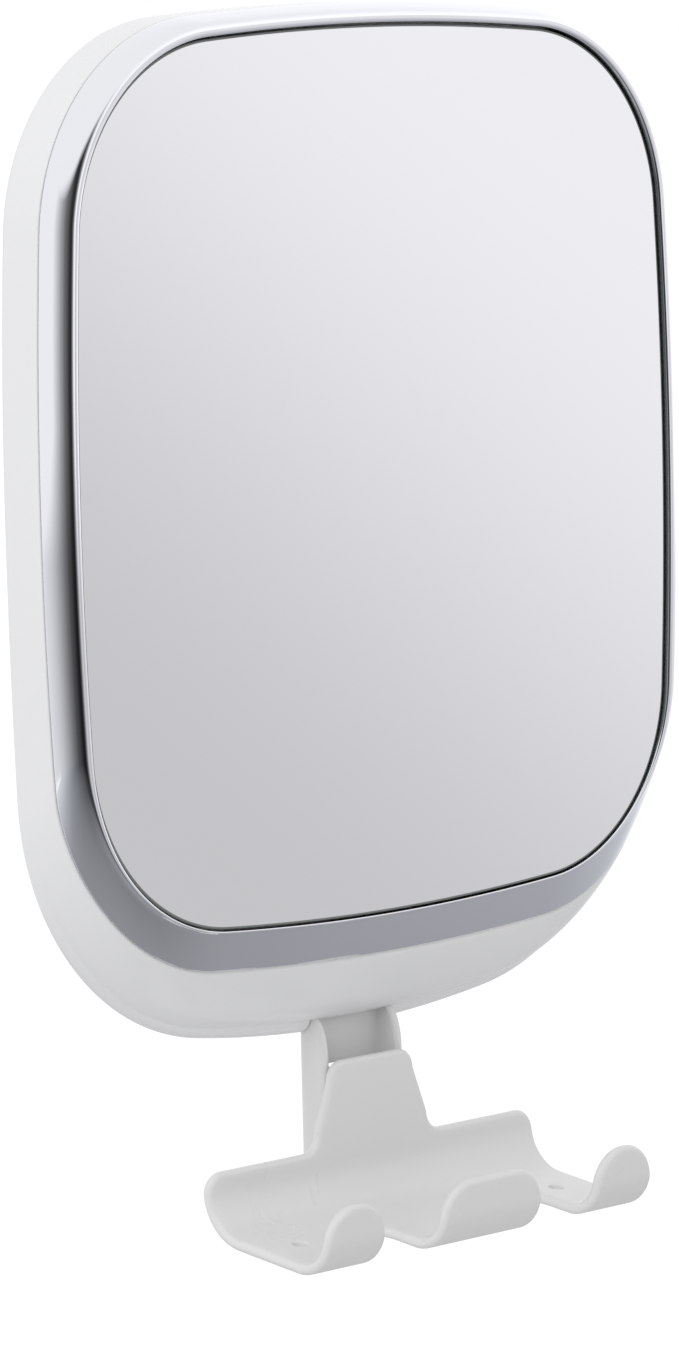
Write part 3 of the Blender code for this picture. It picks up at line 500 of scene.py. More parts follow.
def turned(
    name, profile, look, wrap=False, centre=(0.0, 0.0), steps=TURN_STEPS, radius_at=None, depth_at=None, sharp=40.0
):
    """The (radius, out) profile turned about a line along Y: x = r cos a, z = r sin a, from pole to pole, or closed
    on itself with wrap. radius_at and depth_at add to the radius and to the place out of each point."""
    profile = np.array(profile, float)
    if not wrap:
        profile[[0, -1], 0] = 0.0
    angle = np.linspace(0.0, math.tau, steps, endpoint=False)
    radius = np.repeat(profile[:, :1], steps, axis=1)
    out = np.repeat(profile[:, 1:2], steps, axis=1)
    if radius_at is not None:
        radius = radius + radius_at(profile, angle)
    x, z = radius * np.cos(angle), radius * np.sin(angle)
    if depth_at is not None:
        out = out + depth_at(profile, x, z)
    points = np.stack([x + centre[0], -out, z + centre[1]], axis=-1)
    faces = grid_faces(len(profile), steps, wrap).tolist()
    return built(name, points.reshape(-1, 3), faces, [look], sharp=sharp)


def formed_sheet(name, loops, rims, half, place, look, pitch, step):
    """A sheet of even thickness with rounded edges. The loops bound it on the flat, outer one anticlockwise and
    holes clockwise. Each edge is a half round, (core + outward rim cos a, rim sin a), and both faces are filled
    with triangles over a grid of points. place then maps the flat (u, v, t) into the model's frame."""
    loops = [resampled(loop, step) for loop in loops]
    cores = [inset(loop, rim) for loop, rim in zip(loops, rims)]
    points, faces, start = [], [], 0
    quarter = angles(0.0, 90.0, RIM_STEPS)
    for loop, core, rim in zip(loops, cores, rims):
        turn = np.concatenate([-quarter[::-1], quarter])
        lift = rim * np.sin(turn) + np.repeat([-1.0, 1.0], RIM_STEPS + 1) * (half - rim)
        flat = core + (loop - core) * np.cos(turn)[:, None, None]
        rows = np.concatenate([flat, np.broadcast_to(lift[:, None, None], flat.shape[:2] + (1,))], axis=-1)
        points.append(rows.reshape(-1, 3))
        faces += (grid_faces(len(turn), len(loop)) + start).tolist()
        start += rows.shape[0] * rows.shape[1]
    low, high = cores[0].min(axis=0), cores[0].max(axis=0)
    counts = [max(2, int(math.ceil((high[i] - low[i]) / pitch[i]))) for i in (0, 1)]
    lines = [np.linspace(low[i], high[i], counts[i] + 1) for i in (0, 1)]
    grid = np.stack(np.meshgrid(*lines), axis=-1).reshape(-1, 2)
    grid = grid[inside(grid, [inset(core, 0.35 * min(pitch)) for core in cores])]
    edges, offset = [], 0
    for core in cores:
        index = np.arange(len(core)) + offset
        edges += np.stack([index, np.roll(index, -1)], axis=1).tolist()
        offset += len(core)
    flat = np.concatenate([*cores, grid])
    solved = delaunay_2d_cdt([Vector(point) for point in flat.tolist()], edges, [], 0, 1e-7)
    spots = np.array([tuple(point) for point in solved[0]])
    triangles = np.array([face for face in solved[2] if len(face) == 3])
    triangles = triangles[inside(spots[triangles].mean(axis=1), cores)]
    for lift in (-half, half):
        points.append(np.column_stack([spots, np.full(len(spots), lift)]))
        faces += (triangles + start).tolist()
        start += len(spots)
    flat = np.concatenate(points)
    return built(name, place(*flat.T), faces, [look], sharp=50.0)


def cut_out(piece, tools):
    """Cuts the tools from the piece, for good, and removes them."""
    for tool in tools:
        step = piece.modifiers.new(tool.name, "BOOLEAN")
        step.operation = "DIFFERENCE"
        step.solver = "EXACT"
        step.object = tool
    graph = bpy.context.evaluated_depsgraph_get()
    mesh = bpy.data.meshes.new_from_object(piece.evaluated_get(graph))
    piece.modifiers.clear()
    piece.data = mesh
    for tool in tools:
        bpy.data.objects.remove(tool, do_unlink=True)
    mesh.set_sharp_from_angle(angle=math.radians(35.0))
    return piece


def seated(piece, body, node):
    """The piece rides on its body and stands for its CAD node, which it hides."""
    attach(piece, body)
    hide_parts(node)
    return piece


# The head's outline


def quadrant(half_width, half_height, side_bow, end_bow, corner):
    """From a side's middle to an end's middle: two shallow arcs and the corner arc that touches both from inside,
    whose centre is where circles of the arcs' radii less the corner's cross."""
    side = np.array([half_width - side_bow, 0.0])
    end = np.array([0.0, half_height - end_bow])
    to_side, to_end = side_bow - corner, end_bow - corner
    apart = np.linalg.norm(end - side)
    along = (to_side**2 - to_end**2 + apart**2) / (2.0 * apart)
    unit = (end - side) / apart
    middle = side + unit * along + np.array([-unit[1], unit[0]]) * math.sqrt(to_side**2 - along**2)
    side_turn = math.degrees(math.atan2(*(middle - side)[::-1]))
    end_turn = math.degrees(math.atan2(*(middle - end)[::-1]))
    return np.concatenate(
        [
            arc(side, side_bow, 0.0, side_turn, SIDE_STEPS)[:-1],
            arc(middle, corner, side_turn, end_turn, CORNER_STEPS)[:-1],
            arc(end, end_bow, end_turn, 90.0, END_STEPS),
        ]
    )


def head_ring(out, margin, foot=None, foot_out=None):
    """The pane's outline grown by a margin, and by foot at its lower end, where it lies at foot_out and, below the
    bezel, takes the chin's larger arcs. The lower corners ease from the one depth to the other by 3t^2 - 2t^3,
    with t the sine of the turn round the corner."""
    foot = margin if foot is None else foot
    foot_out = out if foot_out is None else foot_out
    chin_share = max(0.0, (foot - FOOT_AT_BEZEL) / (FOOT_LOWEST - FOOT_AT_BEZEL))
    arcs = np.array([SIDE_BOW, END_BOW, PANE_CORNER]) + margin
    foot_arcs = arcs + (CHIN_ARCS - arcs) * chin_share
    upper = quadrant(pane_half_width + margin, pane_half_height + margin, *arcs)
    lower = quadrant(pane_half_width + margin, pane_half_height + foot, *foot_arcs)
    turn = np.clip((np.arange(len(lower)) - SIDE_STEPS) / CORNER_STEPS, 0.0, 1.0)
    share = np.sin(np.radians(90.0 * turn))
    fall = out + (foot_out - out) * share * share * (3.0 - 2.0 * share)
    top = np.column_stack([upper[:, 0], np.full(len(upper), -out), upper[:, 1]])
    feet = np.column_stack([lower[:, 0], -fall, -lower[:, 1]])
    flip = np.array([-1.0, 1.0, 1.0])
    return np.concatenate([top[:-1], (top * flip)[:0:-1], (feet * flip)[:-1], feet[:0:-1]])


def foot_slope(depth):
    """How steeply the underside falls at a depth behind the pane's face, before the chin's turn."""
    first = (FOOT_AT_BEZEL - FOOT_LIP) / FOOT_BEZEL_DEPTH
    last = (FOOT_AT_TURN - FOOT_AT_BEZEL) / (CHIN_TURN_DEPTH - FOOT_BEZEL_DEPTH)
    return first + (last - first) * (2.0 * depth - FOOT_BEZEL_DEPTH) / CHIN_TURN_DEPTH


def foot_at(depth):
    """The underside's fall: a parabola through its three named places, then a quarter of an ellipse."""
    if depth > CHIN_TURN_DEPTH:
        left = max(0.0, (head_depth - depth) / (head_depth - CHIN_TURN_DEPTH))
        return FOOT_AT_TURN + (FOOT_LOWEST - FOOT_AT_TURN) * math.sqrt(1.0 - left * left)
    return FOOT_LIP + max(depth, 0.0) * (foot_slope(0.0) + foot_slope(depth)) / 2.0


def foot_depth(depth):
    """How deep the underside lies below a wall that is this deep at the sides."""
    return np.interp(depth, [0.0, bezel_depth, head_depth], [0.0, FOOT_BEZEL_DEPTH, head_depth])


def wall_ring(out, inward=0.0):
    """The head's outside, at a place out at the sides and as deep as the underside is below them."""
    depth = foot_depth(pane_front - out)
    return head_ring(out, bezel_margin - inward, foot_at(depth) - inward, pane_front - depth)


def edge_rings(out, edge):
    """The edge of a wall that ends at a place out: a quarter round, out + edge (1 - sin a) and inward by
    edge (1 - cos a). A negative edge is one at the wall's front."""
    turns = angles(0.0, 90.0, 4)
    return [wall_ring(out + edge * (1.0 - math.sin(turn)), abs(edge) * (1.0 - math.cos(turn))) for turn in turns]


def foot_inside(depth, wall):
    """The fall of the underside's inner face: a wall's thickness less, measured square to the slope."""
    return foot_at(depth) - wall * math.hypot(1.0, foot_slope(depth))


# The head's pieces


def mirror_pane():
    """The pane: its outline at a run of depths, the edge a quarter round into the face."""
    edge, face_inset = sizes().pane_edge, 0.2 * MM
    rings = [head_ring(pane_back, -edge), head_ring(pane_back + edge, 0.0)]
    for turn in angles(0.0, 90.0, 5):
        rings.append(head_ring(pane_front - edge + edge * math.sin(turn), edge * (math.cos(turn) - 1.0)))
    rings.append(head_ring(pane_front, -edge - face_inset))

    def picks(rows, columns):
        made = np.ones((rows - 1) * columns + 2, int)
        made[-1] = 0
        return made

    return skin("mirror_pane_glass", rings, ["silvering", "backing"], picks=picks, sharp=20.0)


def chrome_bezel():
    """The bezel's section, each place a ring of the head's outline: a steep inner wall that turns into the crest along
    a quarter of a fourth-power ellipse, the roll, a quarter of an ellipse, and the back."""
    edge = 0.25 * MM
    lip_back = deck_front + GAP
    rings = [head_ring(lip_back, PANE_PLAY)]
    for turn in angles(0.0, 90.0, ROLL_STEPS):
        rise = math.sqrt(math.sin(turn))
        spread = 1.0 - math.sqrt(max(0.0, math.cos(turn)))
        margin, foot = [PANE_PLAY + (end - PANE_PLAY) * spread for end in (RIDGE_MARGIN, FOOT_LIP)]
        rings.append(head_ring(pane_front + ridge_rise * rise, margin, foot, pane_front + FOOT_RISE * rise))
    for turn in angles(0.0, 90.0, ROLL_STEPS)[1:]:
        forward, outward = math.cos(turn), math.sin(turn)
        depth = ROLL_DEPTH + (-ridge_rise - ROLL_DEPTH) * forward
        below = foot_depth(ROLL_DEPTH)
        below += (-FOOT_RISE - below) * forward
        margin = RIDGE_MARGIN + (bezel_margin - RIDGE_MARGIN) * outward
        rings.append(head_ring(pane_front - depth, margin, foot_at(below), pane_front - below))
    rings += edge_rings(bezel_back, edge)
    inner = bezel_margin - BEZEL_WALL
    rings.append(head_ring(bezel_back, inner, FOOT_SEAT, lip_back))
    rings.append(head_ring(lip_back, inner, FOOT_SEAT - GAP))
    return skin("bezel_ring", rings, ["chrome"], wrap=True, sharp=60.0)


def head_shell():
    """The housing: deck, step for the bezel, walls and a round back edge, with the bracket's slot cut through."""
    edge = 0.3 * MM
    step = bezel_margin - BEZEL_WALL - GAP
    inner = bezel_margin - HEAD_WALL
    outer_back = bezel_back - GAP
    inner_back = outer_back - HEAD_WALL
    cover_foot = FOOT_AT_TURN - HEAD_WALL
    round_start = head_back + BACK_ROUND
    rings = [
        head_ring(deck_back, step - HEAD_WALL, foot_inside(pane_front - deck_back, HEAD_WALL)),
        head_ring(inner_back, inner, foot_inside(pane_front - inner_back, HEAD_WALL)),
        head_ring(cover_front + GAP, inner, cover_foot + GAP),
        head_ring(head_back + edge, inner, cover_foot + GAP),
        head_ring(head_back, inner + edge, cover_foot + GAP + edge),
    ]
    for turn in angles(90.0, 0.0, 10):
        out = round_start - BACK_ROUND * math.sin(turn)
        depth = foot_depth(pane_front - out)
        margin = bezel_margin - BACK_ROUND * (1.0 - math.cos(turn))
        rings.append(head_ring(out, margin, foot_at(depth), pane_front - depth))
    rings += [wall_ring(out) for out in np.linspace(round_start, outer_back - edge, 24)[1:]]
    rings += edge_rings(outer_back, -edge)[1:]
    rings.append(head_ring(outer_back, step, FOOT_SEAT - GAP, deck_front))
    rings.append(head_ring(deck_front, step, FOOT_SEAT - 2.0 * GAP))
    made = skin("housing_shell", rings, ["gloss_white"], sharp=50.0)
    slot_front, slot_top = head_back + 4.6 * MM, chin_low + 14 * MM
    slot = rounded_box(-notch_half_width, notch_half_width, bracket_low.z, slot_top, NOTCH_ROUND)
    ends = [np.insert(slot, 1, -out, axis=1) for out in (head_back - 2 * MM, slot_front)]
    return cut_out(made, [skin("slot_tool", ends, ["gloss_white"])])


def tape_ring():
    """The tape: two outlines of the pane, moved in, at its back and its front."""
    outer, inner = -TAPE_INSET, -TAPE_INSET - TAPE_WIDTH
    back, front = -tape_high.y, -tape_low.y
    rings = [head_ring(back, outer), head_ring(front, outer), head_ring(front, inner), head_ring(back, inner)]
    return skin("foam_tape", rings, ["foam"], wrap=True)


def on_plane(out_middle):
    """Places a flat sheet square to the wall's normal: u is X, v is Z and t is towards the wall."""
    return lambda u, v, t: np.column_stack([u, t - out_middle, v])


def screw_place(node):
    """The x and z of a screw's axis, from its solid."""
    low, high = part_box(node)
    return (low.x + high.x) / 2, (low.z + high.z) / 2


COVER_SCREWS = [f"cover_screw_{i}" for i in (1, 2, 3, 4)]
SOCKET_SCREWS = [f"socket_screw_{i}" for i in (1, 2, 3)]
BRACKET_SCREWS = ["bracket_screw_left", "bracket_screw_right"]


def rear_cover():
    """The back plate, with the socket's opening, the screws' holes and the notch for the bracket."""
    margin = cover_high.x - pane_half_width
    outline = head_ring(head_back, margin, FOOT_AT_TURN - HEAD_WALL)[:, [0, 2]]
    notch = rounded_box(-notch_half_width, notch_half_width, 2 * bracket_low.z, bracket_high.z + GAP, NOTCH_ROUND)
    notch_top = notch[notch[:, 1] > bracket_low.z]
    notch_top = np.concatenate([notch_top[notch_top[:, 0] > 0], notch_top[notch_top[:, 0] <= 0]])
    foot = outline[np.argmin(outline[:, 1])][1]
    right_foot, left_foot = (notch_half_width, foot), (-notch_half_width, foot)
    keep = ~((np.abs(outline[:, 0]) < notch_half_width) & (outline[:, 1] < 0.0))
    ring = outline[keep]
    split = np.argmax((ring[:, 0] < 0) & (np.roll(ring[:, 0], -1) > 0) & (ring[:, 1] < 0))
    ring = np.roll(ring, -(split + 1), axis=0)
    loop = np.concatenate([ring, [left_foot], notch_top[::-1], [right_foot]])
    holes = [circle(screw_place(node), SCREW_HOLE)[::-1] for node in COVER_SCREWS + SOCKET_SCREWS]
    opening = circle((0.0, 0.0), COVER_OPENING, 96)[::-1]
    return formed_sheet(
        "back_plate", [loop, opening, *holes], [0.4 * MM, 0.4 * MM] + [0.2 * MM] * len(holes), COVER / 2,
        on_plane(head_back + COVER / 2), "gloss_white", pitch=(6 * MM, 6 * MM), step=3 * MM,
    )


def screw(name, node):
    """A pan-head screw: a domed head with a cross recess, min(|x|, |z|) narrow and max(|x|, |z|) short, and a
    threaded shank whose radius rises and falls along it."""
    low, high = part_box(node)
    head_radius = (high.x - low.x) / 2
    back, tip = -high.y, -low.y
    seat = back + SCREW_HEAD
    shank, edge, dome_height, dome_steps = 1.4 * MM, 0.15 * MM, 0.55 * MM, 22
    thread_depth, thread_pitch = 0.25 * MM, 0.45 * MM
    slot_half, slot_reach, slot_depth = 0.42 * MM, 1.55 * MM, 0.85 * MM
    profile = [(head_radius * t, back + dome_height * t**3.2) for t in np.linspace(0.0, 1.0, dome_steps)]
    profile += [(head_radius, seat - edge), (head_radius - edge, seat), (shank, seat)]
    turns = int((tip - seat - 1.5 * MM) / thread_pitch)
    for i in range(2 * turns):
        profile.append((shank - thread_depth * (i % 2), seat + 0.4 * MM + thread_pitch / 2 * i))
    profile += [(shank * 0.6, tip - 0.3 * MM), (0.0, tip)]

    def recess(rows, x, z):
        across, along = np.minimum(np.abs(x), np.abs(z)), np.maximum(np.abs(x), np.abs(z))
        narrow = np.clip((slot_half - across) / (0.16 * MM), 0.0, 1.0)
        short = np.clip((slot_reach - along) / (0.35 * MM), 0.0, 1.0)
        return slot_depth * narrow * short * (np.arange(len(rows)) < dome_steps)[:, None]

    return turned(name, profile, "steel", centre=screw_place(node), steps=72, depth_at=recess)


# The hanger bracket and the razor holder


def hanger_bracket():
    """A U-channel: a flat sheet bent along u round two corners, its flanges swept back towards the tab by a quarter
    of an ellipse."""
    half = sizes().bracket_wall / 2
    bend = 1.35 * MM
    side = bracket_high.x - half
    web_out = head_back + half
    front = -bracket_low.y
    flange = front - (web_out + bend)
    web = 2 * (side - bend)
    turn = math.pi / 2 * bend
    ends = np.cumsum([0.0, flange, turn, web, turn, flange]) - (flange + turn + web / 2)

    def place(u, v, t):
        """Arc length u round the U, height v and t through the wall, towards the outside."""
        size, sign = np.abs(u), np.sign(u)
        angle = np.clip((size - ends[3]) / bend, 0.0, math.pi / 2)
        straight = np.maximum(size - ends[4], 0.0)
        x = np.minimum(size, ends[3]) + (bend + t) * np.sin(angle)
        out = web_out + bend - (bend + t) * np.cos(angle) + straight
        return np.column_stack([sign * x, -out, v])

    def reach(out):
        return ends[4] + out - (web_out + bend)

    full, neck = reach(front), reach(head_back + 4.0 * MM)
    shoulder_low, shoulder_rise = chin_low - 5.5 * MM, 9.0 * MM
    foot_round, tab_round = 2 * MM, 1.5 * MM
    curve = angles(0.0, 90.0, 12)
    sweep = [full - (full - neck) * (1.0 - np.cos(curve)), shoulder_low + shoulder_rise * np.sin(curve)]
    foot = arc((full - foot_round, bracket_low.z + foot_round), foot_round, -90.0, 0.0, 6)
    tab = arc((neck - tab_round, bracket_high.z - tab_round), tab_round, 0.0, 90.0, 5)
    right = np.concatenate([foot, np.column_stack(sweep), tab])
    loop = mirrored(right)
    window = rounded_box(-WINDOW_HALF_WIDTH, WINDOW_HALF_WIDTH, WINDOW_LOW, WINDOW_HIGH, NOTCH_ROUND)[::-1]
    holes = [circle(screw_place(node), SCREW_HOLE)[::-1] for node in BRACKET_SCREWS]
    return formed_sheet(
        "channel_bracket", [loop, window, *holes], [half * RIM_SHARE, 0.3 * MM] + [0.2 * MM] * len(holes), half,
        place, "satin_white", pitch=(0.7 * MM, 1.6 * MM), step=0.6 * MM,
    )


def trough_path():
    """The trough's middle line as (length, forward, up, heading): plate, heel, floor, toe and finger, sampled
    closely, with x and z summed from the heading along the way."""
    forward = -bracket_low.y + GAP + sizes().holder_wall / 2
    heel = math.radians(FLOOR_DEG + 90.0) * HEEL_RADIUS
    toe = math.radians(FINGER_DEG - FLOOR_DEG) * TOE_RADIUS
    lengths = np.cumsum([0.0, TONGUE_HEIGHT + PLATE_STRAIGHT, heel, FLOOR_LENGTH, toe, FINGER_LENGTH])
    s = np.linspace(0.0, lengths[-1], 4001)
    heading = np.radians(np.interp(s, lengths, [-90.0, -90.0, FLOOR_DEG, FLOOR_DEG, FINGER_DEG, FINGER_DEG]))
    ds = s[1] - s[0]
    middle = (heading[1:] + heading[:-1]) / 2
    x = forward + np.concatenate([[0.0], np.cumsum(np.cos(middle) * ds)])
    z = holder_high.z + np.concatenate([[0.0], np.cumsum(np.sin(middle) * ds)])
    return lengths, s, x, z, heading


def razor_holder():
    """The trough on the flat: tongue, plate, floor and three fingers as one outline with two slots and two drain
    holes, bent along its middle line."""
    half = sizes().holder_wall / 2
    lengths, s, x, z, heading = trough_path()

    def place(u, v, t):
        turn = np.interp(v, s, heading)
        forward = np.interp(v, s, x) + t * np.sin(turn)
        return np.column_stack([u, -forward, np.interp(v, s, z) - t * np.cos(turn)])

    floor_at = lengths[2]
    end = lengths[-1]
    side = holder_high.x
    corner, plate_corner = 4.0 * MM, 4.5 * MM
    drain_aside, drain_radius = 38.0 * MM, 1.6 * MM
    slot_round = (SLOT_OUTER - SLOT_INNER) / 2
    slot_end = floor_at + (x[-1] - SLOT_REACH - x[s <= floor_at][-1]) / math.cos(math.radians(FLOOR_DEG))
    right = np.concatenate(
        [
            arc((TONGUE_HALF_WIDTH - corner, corner), corner, 270.0, 360.0, 10),
            arc((TONGUE_HALF_WIDTH + TONGUE_FLARE + corner, TONGUE_HEIGHT - corner), corner, 180.0, 90.0, 10),
            arc((side - plate_corner, TONGUE_HEIGHT + plate_corner), plate_corner, 270.0, 360.0, 12),
            arc((side - FINGER_ROUND, end - FINGER_ROUND), FINGER_ROUND, 0.0, 90.0, 18),
            arc((SLOT_OUTER + FINGER_ROUND, end - FINGER_ROUND), FINGER_ROUND, 90.0, 180.0, 18),
            arc((SLOT_INNER + slot_round, slot_end), slot_round, 0.0, -180.0, 30),
            arc((SLOT_INNER - FINGER_ROUND, end - FINGER_ROUND), FINGER_ROUND, 0.0, 90.0, 18),
        ]
    )
    loop = mirrored(right)
    drain_at = floor_at + 0.45 * FLOOR_LENGTH
    drains = [circle((sign * drain_aside, drain_at), drain_radius)[::-1] for sign in (-1, 1)]
    return formed_sheet(
        "trough_holder", [loop, *drains], [half * RIM_SHARE, 0.4 * MM, 0.4 * MM], half, place, "satin_white",
        pitch=(2.6 * MM, 0.8 * MM), step=0.6 * MM,
    )


def holder_slider():
    """The block behind the tongue that slides in the channel: a rounded rectangle of even thickness."""
    back = head_back + 2.3 * MM
    half = (-bracket_low.y + GAP + 1.1 * MM - back) / 2
    middle = back + half
    side, high = bracket_high.x - 2.3 * MM, holder_high.z - 2.5 * MM
    low = high - 25 * MM
    loop = rounded_box(-side, side, low, high, NOTCH_ROUND)
    return formed_sheet(
        "channel_slider", [loop], [0.35 * MM], half, on_plane(middle), "satin_white", pitch=(4 * MM, 4 * MM),
        step=2 * MM,
    )


def holder_hook():
    """The hook that passes through the bracket's window and hangs behind its web: an L drawn along X."""
    high = holder_high.z - 7.5 * MM
    low = high - 5.0 * MM
    tip = low - 5.0 * MM
    front, step = -(head_back + 4 * MM), -(head_back - GAP)
    back = step + 1.9 * MM
    outline = [(front, low), (step, low), (step, tip), (back, tip), (back, high), (front, high)]
    loop = eased(outline, 0.5 * MM, closed=True)
    return formed_sheet(
        "channel_hook", [loop], [0.2 * MM], 5 * MM, lambda u, v, t: np.column_stack([t, u, v]), "satin_white",
        pitch=(3 * MM, 3 * MM), step=1 * MM,
    )


# The ball joint and the suction mount


def sphere_arc(radius, start, end, steps=24):
    """(radius, out) points on a sphere round the ball's centre; 0 degrees is its pole on the pane's side."""
    turn = angles(start, end, steps)
    return np.column_stack([np.abs(radius * np.sin(turn)), BALL_OUT + radius * np.cos(turn)])


def ball_shell(name, radius, look):
    """A thin shell round the ball: an arc of the inner sphere out to the mouth and one of the outer sphere back."""
    inner = sphere_arc(radius, 0.0, MOUTH_DEG)
    outer = sphere_arc(radius + LINER_WALL, MOUTH_DEG, 0.0)
    return turned(name, np.concatenate([inner, outer]), look)


def socket_flange(back, front, radius):
    """The rim of a socket half's flange, eased, from its back to its front."""
    root = SOCKET_FLANGE - 3 * MM
    return eased([(root, back), (SOCKET_FLANGE, back), (SOCKET_FLANGE, front), (root, front)], radius)


def latitude(rise, radius):
    """The angle from its pole at which a sphere round the ball's centre is so far out from it."""
    return math.degrees(math.acos(rise / radius))


def socket_base():
    """The socket's half on the pane's side: inner sphere, flange and outer sphere."""
    back, front = BALL_OUT + SOCKET_SPLIT + GAP, head_back - GAP
    inner = sphere_arc(SOCKET_INSIDE, 0.0, latitude(back - BALL_OUT, SOCKET_INSIDE))
    outer = sphere_arc(SOCKET_OUTSIDE, latitude(front - BALL_OUT, SOCKET_OUTSIDE), 0.0)
    rim = socket_flange(back, front, 0.4 * MM)
    return turned("socket_front_half", np.concatenate([inner, rim, outer]), "satin_white")


def socket_ring():
    """The socket's half on the wall's side: inner sphere down to the mouth, outer sphere and flange."""
    split = BALL_OUT + SOCKET_SPLIT
    back = split - RING_FLANGE_WALL
    inner = sphere_arc(SOCKET_INSIDE, latitude(SOCKET_SPLIT, SOCKET_INSIDE), MOUTH_DEG)
    outer = sphere_arc(SOCKET_OUTSIDE, MOUTH_DEG, latitude(back - BALL_OUT, SOCKET_OUTSIDE))
    rim = socket_flange(back, split, 0.5 * MM)
    return turned("socket_rear_half", np.concatenate([inner, outer, rim]), "satin_white", wrap=True)


def ball_post():
    """The ball, its neck, collar and threaded spigot."""
    collar_back, collar_front, neck_end = 21.5 * MM, 25.0 * MM, 30 * MM
    collar, spigot = 6.5 * MM, 2.6 * MM
    neck_deg = 180.0 - math.degrees(math.asin(BALL_NECK / BALL_RADIUS))
    low = -post_high.y
    lower = [(0.0, low), (spigot, low), (spigot, collar_back), (collar, collar_back)]
    upper = [(collar, collar_front), (BALL_NECK, collar_front), (BALL_NECK, neck_end)]
    body = eased(lower + upper, 0.5 * MM)
    profile = np.concatenate([body, sphere_arc(BALL_RADIUS, neck_deg, 0.0)])
    return turned("ball_and_post", profile, "steel")


def cup_stud():
    """The stud: a wide foot that the cup grips, the barrel and its bore for the post."""
    back, front = -stud_high.y, -stud_low.y
    foot, barrel, bore = 9 * MM, 6 * MM, 2.9 * MM
    foot_front, bore_back = back + 2 * MM, back + 7.5 * MM
    outside = [(0.0, back), (foot, back), (foot, foot_front), (barrel, foot_front), (barrel, front)]
    profile = eased(outside + [(bore, front), (bore, bore_back), (0.0, bore_back)], 0.4 * MM)
    return turned("moulded_stud", profile, "steel")


def suction_cup():
    """The cup: a flat sealing face with fine rings near its rim, a domed back and the boss round the stud."""
    rim, edge, boss_front = 37 * MM, 2.2 * MM, 8 * MM
    rings = np.linspace(22.0, 34.0, 25) * MM
    depths = np.where(np.arange(len(rings)) % 2, 0.12 * MM, 0.0)
    dome = [(34.5 * MM, 0.0), (rim, 0.0), (rim, edge), (30.3 * MM, edge), (14 * MM, 3.6 * MM)]
    boss = [(12.5 * MM, boss_front), (BORE_RADIUS, boss_front)]
    pocket = [(BORE_RADIUS, 4.4 * MM), (9.3 * MM, 4.4 * MM), (9.3 * MM, 1.8 * MM), (0.0, 1.8 * MM)]
    parts = [[(0.0, 0.0)], np.column_stack([rings, depths]), eased(dome + boss, 0.9 * MM, steps=6), pocket]
    return turned("soft_cup", np.concatenate(parts), "cup_rubber", sharp=50.0)


def mount_shell():
    """The rigid bell: skirt, quarter-ellipse shoulder and a flat front with the washer's seat."""
    back, front = -bell_high.y, -bell_low.y
    wall, skirt = 2.2 * MM, 3.5 * MM
    rim, top = 33.5 * MM, 20 * MM
    inside_front = front - wall
    start = back + skirt
    turn = angles(0.0, 90.0, 16)
    shoulder = np.column_stack([top + (rim - top) * np.cos(turn), start + (front - start) * np.sin(turn)])
    turn, inner_top = turn[::-1], top - wall / 2
    inner = np.column_stack(
        [inner_top + (rim - wall - inner_top) * np.cos(turn), start + (inside_front - start) * np.sin(turn)]
    )
    skirt_high = back + 1.2 * MM
    skirt_rim = eased([(rim - wall, skirt_high), (rim - wall, back), (rim, back), (rim, skirt_high)], 0.5 * MM)
    hub_radius, hub_back = 9.5 * MM, inside_front - 1.5 * MM
    hub = [(BORE_RADIUS, hub_back), (hub_radius, hub_back), (hub_radius, inside_front)]
    bore_edge = eased([(BORE_RADIUS + 1 * MM, front), (BORE_RADIUS, front), (BORE_RADIUS, front - 1 * MM)], 0.3 * MM)
    profile = np.concatenate([hub, inner, skirt_rim, shoulder, bore_edge])
    return turned("mount_bell", profile, "gloss_white", wrap=True)


def thrust_washer():
    """A flat ring between the bell and the hand nut."""
    back, front = -washer_high.y, -washer_low.y
    inner, outer = 6.8 * MM, 15 * MM
    loop = eased([(inner, back), (outer, back), (outer, front), (inner, front)], 0.2 * MM, closed=True)
    return turned("sliding_washer", loop, "nylon", wrap=True)


def lock_ring():
    """The hand nut: its rim swells and sinks by a cosine, eight times round, where the radius is near the rim's."""
    back, front = -nut_high.y, -nut_low.y
    rim, lobe, lobes_start = 19 * MM, 0.9 * MM, 0.8
    corners = [(BORE_RADIUS, back), (rim, back), (rim, front), (BORE_RADIUS, front)]
    loop = eased(corners, 0.8 * MM, steps=8, closed=True)

    def lobes(profile, angle):
        share = np.clip((profile[:, :1] - lobes_start * rim) / ((1.0 - lobes_start) * rim), 0.0, 1.0)
        return lobe * share * np.cos(8 * angle)

    return turned("hand_nut", loop, "satin_white", radius_at=lobes, steps=192, wrap=True)


# Stage

# The camera's lens and the pane's centre, in the photograph's pixels, and the metres between them
PHOTO_WIDE, PHOTO_TALL = 679, 1363
CENTRE_ACROSS, CENTRE_DOWN = 384.785, 470.372
FOCAL_PIXELS = 6580.2
VIEW_DISTANCE = 1.31948

KEY_PLACE, KEY_TARGET, KEY_SIZE = (-1.5, -0.6, 1.3), (0.0, -0.05, 0.0), 1.2
FLOOR_HALF = 40.0

# The panels that only reflections see: the low one lies at the upright one's foot
PANEL_FOOT = -0.42
PANEL_TOP = 2.4
PANEL_RADIUS = 1.7
LAST_BEARING = 150.0

